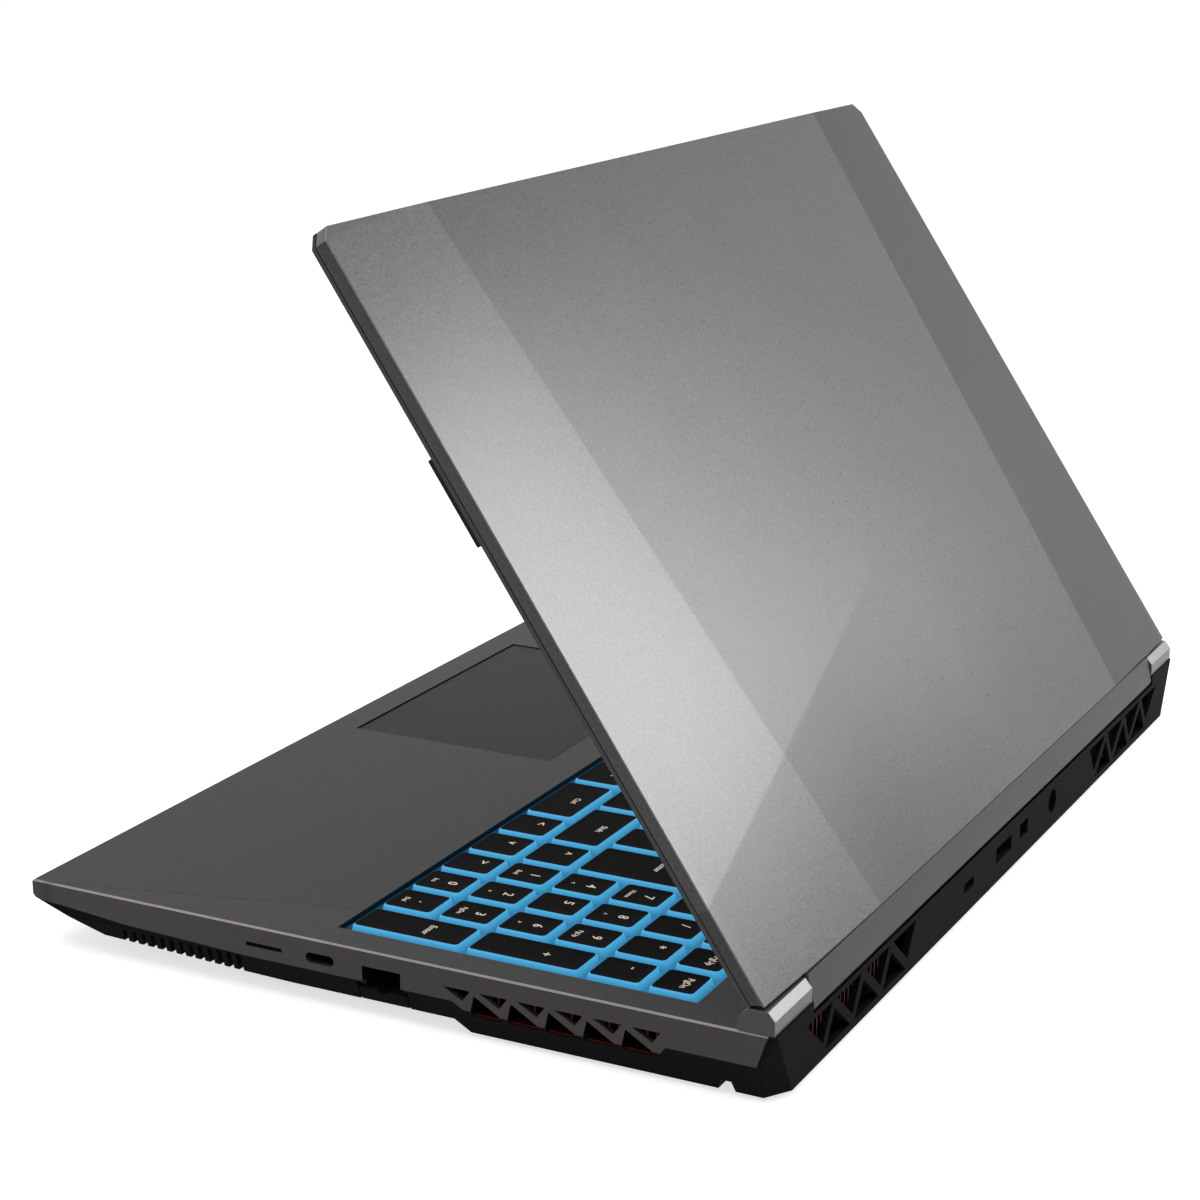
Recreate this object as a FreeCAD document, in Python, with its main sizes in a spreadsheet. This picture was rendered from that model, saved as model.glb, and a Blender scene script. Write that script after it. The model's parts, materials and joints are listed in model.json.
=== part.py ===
import FreeCAD, Part
import os
from types import SimpleNamespace

import Sketcher
from FreeCAD import Placement, Rotation, Vector

# An open laptop computer. X runs to the user's right, Y to the hinge, Z up, in millimetres.
# The origin is on the table under the middle of the case. Lid pieces are drawn about the hinge
# axis with the lid shut, and their placement then opens the lid.

SIZES = {
    # Case outline
    "case_width": 360.0,
    "case_depth": 238.0,
    "deck_height": 20.4,
    "deck_thick": 1.8,
    "wall_thick": 1.8,
    "edge_chamfer": 0.5,
    "foot_height": 1.2,
    "belly_front": 4.8,
    "cover_thick": 1.8,
    "tray_wall": 5.5,
    "side_inset": 3.2,
    "seam_height": 11.0,
    # Underside profile, as distances back from the front edge and heights above the table
    "lip_run": 2.5,
    "lip_height": 14.4,
    "ramp_run": 24.5,
    "ramp_height": 7.0,
    "ease_run": 72.0,
    "ease_height": 5.2,
    "belly_run": 89.0,
    "step_start": 22.6,
    "step_end": 27.2,
    # Seam between the grey case and the black cover near the front
    "seam_front_run": 11.0,
    "seam_front_height": 14.1,
    "seam_mid_run": 33.0,
    "seam_mid_height": 12.3,
    "seam_flat_run": 75.0,
    # Slanted facet at each back corner
    "corner_x": 173.0,
    "corner_y": 116.7,
    "corner_turn": 56.66,
    "corner_lean": 0.28,
    "corner_skin": 1.6,
    # Side vents: a truss of leaning triangles
    "vent_first": 20.3,
    "vent_pitch": 11.45,
    "vent_top": 14.9,
    "vent_width": 8.6,
    "vent_tip_shift": 6.1,
    "vent_tip": 11.6,
    "vent_sill": 9.0,
    "vent_apex_shift": 9.7,
    "vent_apex": 13.8,
    "vent_left_shift": 8.3,
    "vent_right_shift": 19.5,
    "vent_notch_floor": 7.4,
    "vent_notch_left": 8.4,
    "vent_notch_right": 17.4,
    # Speaker slots in the lower front corners
    "comb_first": -87.4,
    "comb_pitch": 3.3,
    "comb_slot": 1.6,
    "comb_inner": 167.0,
    "comb_top": 10.6,
    # Back wall with its vents
    "back_wall": 2.0,
    "back_vent_first": 80.0,
    "back_vent_pitch": 20.5,
    "back_vent_lean": 7.7,
    "back_vent_low": 3.4,
    "back_vent_high": 15.4,
    "back_strut": 1.5,
    # Hinge
    "hinge_y": 113.8,
    "hinge_height": 21.7,
    "lid_open": 56.19,
    "cap_inner": 155.9,
    "cap_radius": 6.0,
    "cap_top": 27.0,
    "sweep_radius": 6.7,
    "pin_radius": 1.9,
    "pin_play": 0.05,
    "sleeve_radius": 3.3,
    # Lid, measured from the hinge axis with the lid shut
    "lid_start": 3.4,
    "lid_reach": 232.8,
    "lid_thick": 6.0,
    "lid_skin": 1.5,
    "bezel_thick": 1.3,
    "lid_corner": 4.0,
    "lid_clear": 6.35,
    "bar_half": 155.4,
    "facet_slope": 0.015,
    "right_crease_free": 128.0,
    "right_crease_turn": 6.1,
    "left_crease_free": 137.2,
    "left_crease_turn": 5.08,
    "screen_width": 345.4,
    "screen_height": 194.3,
    "screen_free": 224.3,
    "pad_proud": 1.2,
    # Keyboard
    "key_pitch": 18.1,
    "row_pitch": 18.6,
    "pad_pitch": 16.1,
    "key_gap": 2.2,
    "key_taper": 0.4,
    "key_height": 2.6,
    "key_top": 20.8,
    "key_left": -167.4,
    "key_front": -18.4,
    "function_depth": 16.0,
    "well_margin": 2.4,
    "guide_thick": 0.6,
    "guide_top": 16.6,
    "plate_thick": 1.0,
    "plate_rim": 2.0,
    # Touchpad
    "touchpad_x": -32.0,
    "touchpad_width": 108.0,
    "touchpad_front": -107.4,
    "touchpad_depth": 74.0,
    "touchpad_thick": 1.6,
    "touchpad_top": 20.1,
    "touchpad_gap": 0.5,
    # Cooling
    "fan_x": 125.0,
    "fan_y": 62.0,
    "fan_size": 66.0,
    "fan_low": 3.0,
    "fan_high": 12.8,
    "fan_plate": 1.0,
    "fan_inlet": 18.0,
    "rotor_radius": 27.0,
    "rotor_play": 2.5,
    "hub_radius": 11.0,
    "shaft_radius": 1.5,
    "blade_count": 19,
    "blade_thick": 0.9,
    "fin_thick": 0.4,
    "fin_count": 25,
    "fin_lip_play": 0.3,
    # Boards
    "board_half": 90.0,
    "board_front": 28.0,
    "board_back": 104.0,
    "board_top": 7.4,
    "board_thick": 1.2,
    # Sockets
    "socket_depth": 12.0,
    "back_socket_x": 36.8,
    "wide_socket_x": 5.3,
    "small_socket_x": -13.8,
    "inlet_x": -42.4,
}

UPPER_VENTS = 6
COMB_SLOTS = 13
BACK_VENTS = 4


class Size:
    """A length in millimetres together with the sheet expression that it comes from."""

    def __init__(self, value, text):
        self.value = float(value)
        self.text = text

    def __add__(self, other):
        other = as_size(other)
        return Size(self.value + other.value, f"({self.text} + {other.text})")

    def __sub__(self, other):
        other = as_size(other)
        return Size(self.value - other.value, f"({self.text} - {other.text})")

    def __mul__(self, other):
        other = as_size(other)
        return Size(self.value * other.value, f"({self.text} * {other.text})")

    def __truediv__(self, other):
        other = as_size(other)
        return Size(self.value / other.value, f"({self.text} / {other.text})")

    def __radd__(self, other):
        return as_size(other) + self

    def __rsub__(self, other):
        return as_size(other) - self

    def __rmul__(self, other):
        return as_size(other) * self

    def __neg__(self):
        return Size(-self.value, f"(0 - {self.text})")


def as_size(term):
    """A Size from a Size or a plain number."""
    if isinstance(term, Size):
        return term
    text = repr(float(term))
    return Size(term, f"({text})" if term < 0 else text)


def make_sheet():
    """The spreadsheet of driving dimensions, one named cell each."""
    sheet = doc.addObject("Spreadsheet::Sheet", "dims")
    for row, (name, value) in enumerate(SIZES.items(), start=1):
        sheet.set(f"A{row}", name)
        sheet.set(f"B{row}", str(value))
        sheet.setAlias(f"B{row}", name)
    doc.recompute()


doc = FreeCAD.newDocument("laptop")
make_sheet()
d = SimpleNamespace(**{name: Size(value, f"dims.{name}") for name, value in SIZES.items()})
nodes = []

# Derived places that several pieces share
half_width = d.case_width / 2
front_y = -d.case_depth / 2
back_y = d.case_depth / 2
deck_under = d.deck_height - d.deck_thick
tray_half = half_width - d.tray_wall
wall_inner = half_width - d.wall_thick
back_inner = back_y - d.back_wall
floor_back = d.foot_height + d.cover_thick
floor_front = d.belly_front + d.cover_thick
deck_back = d.hinge_y - d.sweep_radius + 0.1
hinge_right = (d.hinge_y, d.hinge_height)


# Drawing helpers
def bind(item, path, size):
    """Tie one property of an object to the sheet."""
    item.setExpression(path, as_size(size).text)


def draw_outline(sketch, points):
    """Add one closed outline of straight lines, every corner tied to the sheet."""
    first = sketch.GeometryCount
    count = len(points)
    corners = [(as_size(across), as_size(up)) for across, up in points]
    places = [Vector(across.value, up.value, 0) for across, up in corners]
    lines = [Part.LineSegment(places[i], places[(i + 1) % count]) for i in range(count)]
    sketch.addGeometry(lines, False)
    joins = [Sketcher.Constraint("Coincident", first + i, 2, first + (i + 1) % count, 1)
             for i in range(count)]
    sketch.addConstraint(joins)
    for i, (across, up) in enumerate(corners):
        for kind, size in (("DistanceX", across), ("DistanceY", up)):
            index = sketch.addConstraint(Sketcher.Constraint(kind, -1, 1, first + i, 1, size.value))
            bind(sketch, f"Constraints[{index}]", size)


def draw_circle(sketch, radius):
    """Add one circle about the sketch's origin."""
    radius = as_size(radius)
    circle = sketch.addGeometry(Part.Circle(Vector(0, 0, 0), Vector(0, 0, 1), radius.value), False)
    sketch.addConstraint(Sketcher.Constraint("Coincident", circle, 3, -1, 1))
    index = sketch.addConstraint(Sketcher.Constraint("Radius", circle, radius.value))
    bind(sketch, f"Constraints[{index}]", radius)


def origin_feature(body, role):
    """One of a body's own origin planes or axes."""
    return next(item for item in body.Origin.OriginFeatures if item.Role == role)


def new_sketch(body, name, plane, offset):
    """A sketch on one of a body's origin planes, moved along that plane's normal."""
    sketch = body.newObject("Sketcher::SketchObject", name)
    sketch.AttachmentSupport = [(origin_feature(body, f"{plane}_Plane"), "")]
    sketch.MapMode = "FlatFace"
    bind(sketch, "AttachmentOffset.Base.z", offset)
    return sketch


def add_pad(body, sketch, name, length):
    """Pad a sketch along its normal and make it the body's tip."""
    pad = body.newObject("PartDesign::Pad", name)
    pad.Profile = sketch
    bind(pad, "Length", length)
    body.Tip = pad
    return pad


def prism(label, plane, outlines, start, end):
    """A body padded from closed outlines between two places along X, Y or Z.

    The XY plane's normal is +Z and the YZ plane's is +X, but the XZ plane's is -Y.
    """
    start = as_size(start)
    end = as_size(end)
    body = doc.addObject("PartDesign::Body", label)
    offset = -end if plane == "XZ" else start
    sketch = new_sketch(body, f"{label}_outline", plane, offset)
    for outline in outlines:
        draw_outline(sketch, outline)
    add_pad(body, sketch, f"{label}_pad", end - start)
    return body


def box(label, x_span, y_span, z_span):
    """A box between pairs of X, Y and Z limits."""
    item = doc.addObject("Part::Box", label)
    spans = zip((x_span, y_span, z_span), ("Length", "Width", "Height"), "xyz")
    for (low, high), side, axis in spans:
        bind(item, side, as_size(high) - low)
        bind(item, f"Placement.Base.{axis}", low)
    return item


def rod(label, axis, centre, radius, start, end):
    """A cylinder along X, Y or Z. The centre gives the other two coordinates in order."""
    item = doc.addObject("Part::Cylinder", label)
    turns = {"x": Rotation(Vector(0, 1, 0), 90), "y": Rotation(Vector(1, 0, 0), -90), "z": Rotation()}
    item.Placement = Placement(Vector(0, 0, 0), turns[axis])
    bind(item, "Radius", radius)
    bind(item, "Height", as_size(end) - start)
    bind(item, f"Placement.Base.{axis}", start)
    others = [name for name in "xyz" if name != axis]
    for name, place in zip(others, centre):
        bind(item, f"Placement.Base.{name}", place)
    return item


def fuse(label, *items):
    """One solid, or several, made of overlapping or touching items."""
    item = doc.addObject("Part::MultiFuse", label)
    item.Shapes = list(items)
    item.Refine = True
    return item


def cut(label, base, *tools):
    """A base with tools taken away."""
    item = doc.addObject("Part::Cut", label)
    item.Base = base
    item.Tool = tools[0] if len(tools) == 1 else fuse(f"{label}_tools", *tools)
    item.Refine = True
    return item


def common(label, first, second):
    """What two items share."""
    item = doc.addObject("Part::MultiCommon", label)
    item.Shapes = [first, second]
    item.Refine = True
    return item


def group(label, *items):
    """Several separate solids in one node."""
    item = doc.addObject("Part::Compound", label)
    item.Links = list(items)
    return item


def mirror(label, source):
    """The same piece on the other side of the case."""
    item = doc.addObject("Part::Mirroring", label)
    item.Source = source
    item.Normal = Vector(1, 0, 0)
    return item


def node(item, label):
    """Name a finished sub-part and keep it for export."""
    item.Label = label
    nodes.append(item)
    return item


def on_lid(item):
    """Carry a piece that was drawn about the hinge axis to the opened lid."""
    item.Placement = Placement(Vector(0, 0, 0), Rotation(Vector(-1, 0, 0), d.lid_open.value))
    bind(item, "Placement.Base.y", d.hinge_y)
    bind(item, "Placement.Base.z", d.hinge_height)
    bind(item, "Placement.Rotation.Angle", d.lid_open)
    return item


def sides(x_low, x_high):
    """The same X span on the right and on the left."""
    return ((x_low, x_high), (-as_size(x_high), -as_size(x_low)))


# Shared cutters of the case
def corner_cutter(label, skin):
    """The wedge of space outside a back corner's slanted facet, a skin's depth further in."""
    low_z = -5.0
    high_z = 40.0
    reach = 40.0
    low_edge = (low_z - d.foot_height) * d.corner_lean - skin
    high_edge = (high_z - d.foot_height) * d.corner_lean - skin
    outline = [(low_edge, low_z), (reach, low_z), (reach, high_z), (high_edge, high_z)]
    right = prism(f"{label}_right", "XZ", [outline], -reach, reach)
    right.Placement = Placement(Vector(0, 0, 0), Rotation(Vector(0, 0, 1), d.corner_turn.value))
    bind(right, "Placement.Base.x", d.corner_x)
    bind(right, "Placement.Base.y", d.corner_y)
    bind(right, "Placement.Rotation.Angle", d.corner_turn)
    return fuse(label, right, mirror(f"{label}_left", right))


def side_slopes(label):
    """The space outside the black cover's inward slanting sides."""
    low = d.foot_height
    inner = half_width - d.side_inset
    outline = [(inner, low), (half_width, d.seam_height), (half_width + 20, d.seam_height),
               (half_width + 20, low - 5), (inner - d.side_inset * 0.5, low - 5)]
    right = prism(f"{label}_right", "XZ", [outline], -160, 160)
    return fuse(label, right, mirror(f"{label}_left", right))


def upper_vent(index):
    """Corners of one upper triangle of the side truss."""
    start = d.vent_first + d.vent_pitch * index
    return [(start, d.vent_top), (start + d.vent_tip_shift, d.vent_tip),
            (start + d.vent_width, d.vent_top)]


def lower_vent(index):
    """Corners of one lower triangle of the side truss, open below."""
    start = d.vent_first + d.vent_pitch * index
    below = d.vent_sill - 1.0
    return [(start + d.vent_apex_shift, d.vent_apex), (start + d.vent_left_shift, below),
            (start + d.vent_right_shift, below)]


def vent_notch(index):
    """Corners of the notch that carries one lower triangle down into the black cover."""
    start = d.vent_first + d.vent_pitch * index
    above = d.vent_sill + 1.0
    return [(start + d.vent_notch_left, above), (start + d.vent_notch_left, d.vent_notch_floor),
            (start + d.vent_notch_right, d.vent_notch_floor), (start + d.vent_notch_right, above)]


def seam_outline():
    """The seam between grey case and black cover, from the front lip to the back."""
    last = d.vent_first + d.vent_pitch * (UPPER_VENTS - 1)
    return [(front_y + d.lip_run, d.lip_height),
            (front_y + d.seam_front_run, d.seam_front_height),
            (front_y + d.seam_mid_run, d.seam_mid_height),
            (front_y + d.seam_flat_run, d.seam_height),
            (d.vent_first + 2.7, d.seam_height),
            (d.vent_first + 6.4, d.vent_sill),
            (last + 8.4, d.vent_sill),
            (last + 10.0, d.seam_height),
            (back_inner, d.seam_height)]


# Sockets of the right and left walls: names, places along Y and heights
CARD = SimpleNamespace(y=(-43.8, -31.8), z=(14.2, 15.4))
SIDE_C = SimpleNamespace(y=(-23.8, -14.6), z=(13.2, 16.2))
BACK_C_WIDTH = 8.8
BACK_C_Z = (8.3, 11.3)
NETWORK = SimpleNamespace(y=(-5.4, 6.9), z=(9.4, 15.6))
DATA_A = SimpleNamespace(y=(-37.4, -24.2), z=(11.9, 17.0))
AUDIO_Y = (-54.0, -45.5)
AUDIO_Z = 14.4
AUDIO_RADIUS = 1.8
BOSS_RADIUS = 2.8
SCREW_RADIUS = 1.0
SCREW_PLACES = ((121.0, -70.0), (121.0, -32.0))
BACK_SCREWS = ((70.0, 111.0), (170.0, 111.0))
BUTTON_X = (-9.0, 9.0)
DRAIN_Y = (101.0, 106.6)
DRAIN_TOP = 4.3
DRAIN_INNER = 165.5
DRAIN_DRAFT = 1.2
DRAIN_SKIN = 1.2
BUTTON_Y = (98.2, 103.4)
UPRIGHT_X = (157.6, 161.0)
POST_INNER = 164.0


def key_well():
    """Plan limits of the opening for the keys."""
    right = d.key_left + d.key_pitch * 15 + d.pad_pitch * 4
    back = d.key_front + d.row_pitch * 5 + d.function_depth
    return ((d.key_left - d.well_margin + d.key_gap / 2, right + d.well_margin - d.key_gap / 2),
            (d.key_front - d.well_margin + d.key_gap / 2, back + d.well_margin - d.key_gap / 2))


def touchpad_span(margin):
    """Plan limits of the touchpad, grown by a margin."""
    half = d.touchpad_width / 2 + margin
    return ((d.touchpad_x - half, d.touchpad_x + half),
            (d.touchpad_front - margin, d.touchpad_front + d.touchpad_depth + margin))


def pill(label, axis, across, heights, reach):
    """A hole with half-round ends, run along X or Y."""
    low, high = as_size(heights[0]), as_size(heights[1])
    radius = (high - low) / 2
    flat = (as_size(across[0]) + radius, as_size(across[1]) - radius)
    spans = (reach, flat, heights) if axis == "x" else (flat, reach, heights)
    ends = [rod(f"{label}_end_{i}", axis, (place, low + radius), radius, *reach)
            for i, place in enumerate(flat)]
    return fuse(label, box(f"{label}_middle", *spans), *ends)


def make_top_case():
    """Grey deck and side walls with the openings for keys, touchpad, sockets and vents."""
    seam = seam_outline()
    outline = [(front_y, d.deck_height - d.edge_chamfer), (front_y, d.lip_height + 1.6),
               (front_y + 0.8, d.lip_height + 0.6)] + seam
    outline += [(back_inner, d.deck_height), (front_y + d.edge_chamfer, d.deck_height)]
    block = prism("deck_block", "YZ", [outline], -half_width, half_width)
    edge = prism("deck_edge_right", "XZ", [[
        (half_width - d.edge_chamfer, d.deck_height + 0.001), (half_width + 1, d.deck_height + 0.001),
        (half_width + 1, d.deck_height - d.edge_chamfer), (half_width, d.deck_height - d.edge_chamfer),
    ]], front_y - 1, back_y + 1)
    hollow = box("deck_hollow", (-wall_inner, wall_inner),
                 (front_y + d.wall_thick, back_y + 5), (0, deck_under))
    vents = prism("deck_vents", "YZ",
                  [upper_vent(i) for i in range(UPPER_VENTS)]
                  + [lower_vent(i) for i in range(UPPER_VENTS - 1)],
                  -half_width - 1, half_width + 1)
    well_x, well_y = key_well()
    high = (deck_under - 1, d.deck_height + 1)
    pad_x, pad_y = touchpad_span(d.touchpad_gap)
    reach = (wall_inner - 1, half_width + 1)
    left_reach = (-half_width - 1, -wall_inner + 1)
    openings = [
        box("deck_well", well_x, well_y, high),
        box("deck_touchpad_opening", pad_x, pad_y, high),
        box("deck_hinge_gap", (-d.cap_inner, d.cap_inner), (deck_back, back_y + 5), high),
        box("deck_button_hole", (BUTTON_X[0] - 0.4, BUTTON_X[1] + 0.4),
            (BUTTON_Y[0] - 0.4, BUTTON_Y[1] + 0.4), high),
        box("deck_card_hole", reach, CARD.y, CARD.z),
        pill("deck_side_hole", "x", SIDE_C.y, SIDE_C.z, reach),
        box("deck_network_hole", reach, NETWORK.y, NETWORK.z),
        box("deck_data_hole", left_reach, DATA_A.y, DATA_A.z),
    ]
    openings += [rod(f"deck_audio_hole_{i}", "x", (y, AUDIO_Z), AUDIO_RADIUS, *left_reach)
                 for i, y in enumerate(AUDIO_Y)]
    openings += [box(f"deck_upright_slot_{i}", x_span, (108.5, 117.6), high)
                 for i, x_span in enumerate(sides(d.cap_inner - 0.4, UPRIGHT_X[1] + 0.4))]
    shell = cut("deck_shell", block, edge, mirror("deck_edge_left", edge), hollow, vents,
                corner_cutter("deck_corners", d.corner_skin), *openings)
    bosses = []
    for x, y in SCREW_PLACES:
        for place in (x, -x):
            post = rod(f"deck_boss_{len(bosses)}", "z", (place, y), BOSS_RADIUS, 9.0, deck_under)
            hole = rod(f"deck_boss_hole_{len(bosses)}", "z", (place, y), SCREW_RADIUS, 8.0, 14.5)
            bosses.append(cut(f"deck_boss_post_{len(bosses)}", post, hole))
    node(fuse("top_case_shape", shell, *bosses), "top_case")


def belly_outline():
    """The underside of the black cover, from the front lip to the back wall."""
    return [(front_y + d.lip_run, d.lip_height), (front_y + d.ramp_run, d.ramp_height),
            (front_y + d.ease_run, d.ease_height), (front_y + d.belly_run, d.belly_front),
            (d.step_start, d.belly_front), (d.step_end, d.foot_height), (back_inner, d.foot_height)]


def inner_outline():
    """The hollow of the black cover: the underside raised by the cover's thickness, open above."""
    raised = [(y + (d.cover_thick * 1.2), z + d.cover_thick) for y, z in belly_outline()[:-3]]
    step = d.cover_thick * 1.6
    raised += [(d.step_start + step * 0.5, floor_front), (d.step_end + step * 0.5, floor_back)]
    return raised + [(back_y + 5, floor_back), (back_y + 5, 30), (front_y + d.lip_run + 2.16, 30)]


def make_bottom_cover():
    """Black tray with slanted sides, speaker slots, air intakes, ribs, posts and the jaw's notch."""
    outline = belly_outline() + seam_outline()[:0:-1]
    block = prism("cover_block", "YZ", [outline], -half_width, half_width)
    hollow = prism("cover_hollow", "YZ", [inner_outline()], -tray_half, tray_half)
    combs = []
    for i in range(COMB_SLOTS):
        start = d.comb_first + d.comb_pitch * i
        for x_span in sides(d.comb_inner, half_width + 1):
            combs.append(box(f"comb_{len(combs)}", x_span, (start, start + d.comb_slot),
                             (0, d.comb_top)))
    intakes = []
    for i in range(9):
        y = d.fan_y - 20 + 5.0 * i
        for x_span in sides(d.fan_x - 20, d.fan_x + 20):
            intakes.append(box(f"intake_{len(intakes)}", x_span, (y, y + 2.4), (0, 5)))
    drain = prism("drain_groove_right", "YZ", [[
        (DRAIN_Y[0], 0), (DRAIN_Y[1], 0), (DRAIN_Y[1] - DRAIN_DRAFT, DRAIN_TOP),
        (DRAIN_Y[0] + DRAIN_DRAFT, DRAIN_TOP)]], DRAIN_INNER, half_width + 1)
    notches = prism("vent_notches_right", "YZ", [vent_notch(i) for i in range(UPPER_VENTS - 1)],
                    tray_half - 1, half_width + 1)
    jaw_notch = box("jaw_notch", (163.5, half_width + 1), (-7.4, 8.9), (0, 12))
    pockets = [box(f"foot_pocket_{i}", x_span, y_span, (0, z_top))
               for i, (x_span, y_span, z_top) in enumerate(foot_places(0.0))]
    screw_holes = []
    for x, y in SCREW_PLACES + BACK_SCREWS:
        for place in (x, -x):
            name = f"screw_hole_{len(screw_holes)}"
            screw_holes.append(rod(name, "z", (place, y), SCREW_RADIUS + 0.1, 0, 9))
            sink = 7.0 if y < 0 else 2.2
            screw_holes.append(rod(f"{name}_sink", "z", (place, y), 2.7, 0, sink))
    tray = cut("cover_tray", block, hollow, side_slopes("cover_slopes"),
               corner_cutter("cover_corners", 0.0), *combs, *intakes, jaw_notch, *pockets, *screw_holes)
    roofs = fuse("drain_roofs", *[
        box(f"drain_roof_{i}", x_span, (DRAIN_Y[0] - DRAIN_SKIN, DRAIN_Y[1] + DRAIN_SKIN),
            (floor_back - 0.1, DRAIN_TOP + DRAIN_SKIN))
        for i, x_span in enumerate(sides(DRAIN_INNER - DRAIN_SKIN, tray_half + 0.2))])
    tray = cut("cover_drained", fuse("cover_roofed", tray, roofs), drain, mirror("drain_groove_left", drain),
               notches, mirror("vent_notches_left", notches))
    ribs = [
        box("battery_rib_front", (-110, 110), (-84, -80), (8.0, 9.2)),
        box("battery_rib_back", (-110, 110), (-40, -36), (6.0, 9.2)),
        box("side_post_right_a", (150, 156), (-44, -38), (6.0, 11.4)),
        box("side_post_right_b", (150, 156), (-18, -12), (6.0, 11.4)),
        box("side_post_left_a", (-156, -150), (-56, -50), (6.0, 10.4)),
        box("side_post_left_b", (-156, -150), (-30, -24), (6.0, 10.4)),
    ]
    ribs += [rod(f"standoff_{i}", "z", place, 2.5, 2.5, d.board_top - d.board_thick)
             for i, place in enumerate(((-84, 56), (84, 62), (-84, 98), (84, 98), (0, 56)))]
    lugs = [cut(f"jaw_lug_{i}", box(f"jaw_lug_block_{i}", (162.5, 168), y_span, (6.0, 9.2)),
                rod(f"jaw_lug_hole_{i}", "y", (165.6, 7.6), 0.85, -12, 14))
            for i, y_span in enumerate(((-9.6, -7.4), (8.9, 11.1)))]
    node(fuse("bottom_cover_shape", tray, *ribs, *lugs), "bottom_cover")


def foot_places(shrink):
    """Plan spans and tops of the rubber feet, drawn in by a clearance."""
    rows = (((88.0, 132.0), (-60.0, -51.0), 6.6), ((50.0, 132.0), (86.5, 94.5), 1.9))
    places = []
    for x_span, y_span, z_top in rows:
        y_limits = (y_span[0] + shrink, y_span[1] - shrink)
        for low, high in (x_span, (-x_span[1], -x_span[0])):
            places.append(((low + shrink, high - shrink), y_limits, z_top))
    return places


def make_feet():
    """Rubber feet: tall ones under the raised front belly, low bars at the back."""
    feet = [box(f"foot_{i}", x_span, y_span, (0, z_top))
            for i, (x_span, y_span, z_top) in enumerate(foot_places(0.15))]
    node(group("feet", *feet), "rubber_feet")


def make_screws():
    """Screws that hold the black cover, heads sunk in the underside."""
    screws = []
    for x, y in SCREW_PLACES + BACK_SCREWS:
        for place in (x, -x):
            low = 5.9 if y < 0 else 1.4
            top = 13.5 if y < 0 else 9.5
            seat = 7.0 if y < 0 else 2.2
            name = f"screw_{len(screws)}"
            head = rod(f"{name}_head", "z", (place, y), 2.4, low, seat)
            shank = rod(f"{name}_shank", "z", (place, y), SCREW_RADIUS - 0.05, seat, top)
            screws.append(fuse(name, head, shank))
    node(group("screws", *screws), "cover_screws")


def back_vent_outlines():
    """Triangles between the zigzag struts of one half of the back wall."""
    outlines = []
    strut = d.back_strut
    for i in range(BACK_VENTS):
        peak = d.back_vent_first + d.back_vent_pitch * i
        valley = peak + d.back_vent_lean
        after = peak + d.back_vent_pitch
        outlines.append([(peak + strut, d.back_vent_high), (after - strut, d.back_vent_high),
                         (valley, d.back_vent_low + strut * 1.6)])
        if i + 1 < BACK_VENTS:
            next_valley = after + d.back_vent_lean
            outlines.append([(valley + strut, d.back_vent_low), (next_valley - strut, d.back_vent_low),
                             (after, d.back_vent_high - strut * 1.6)])
    return outlines


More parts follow.
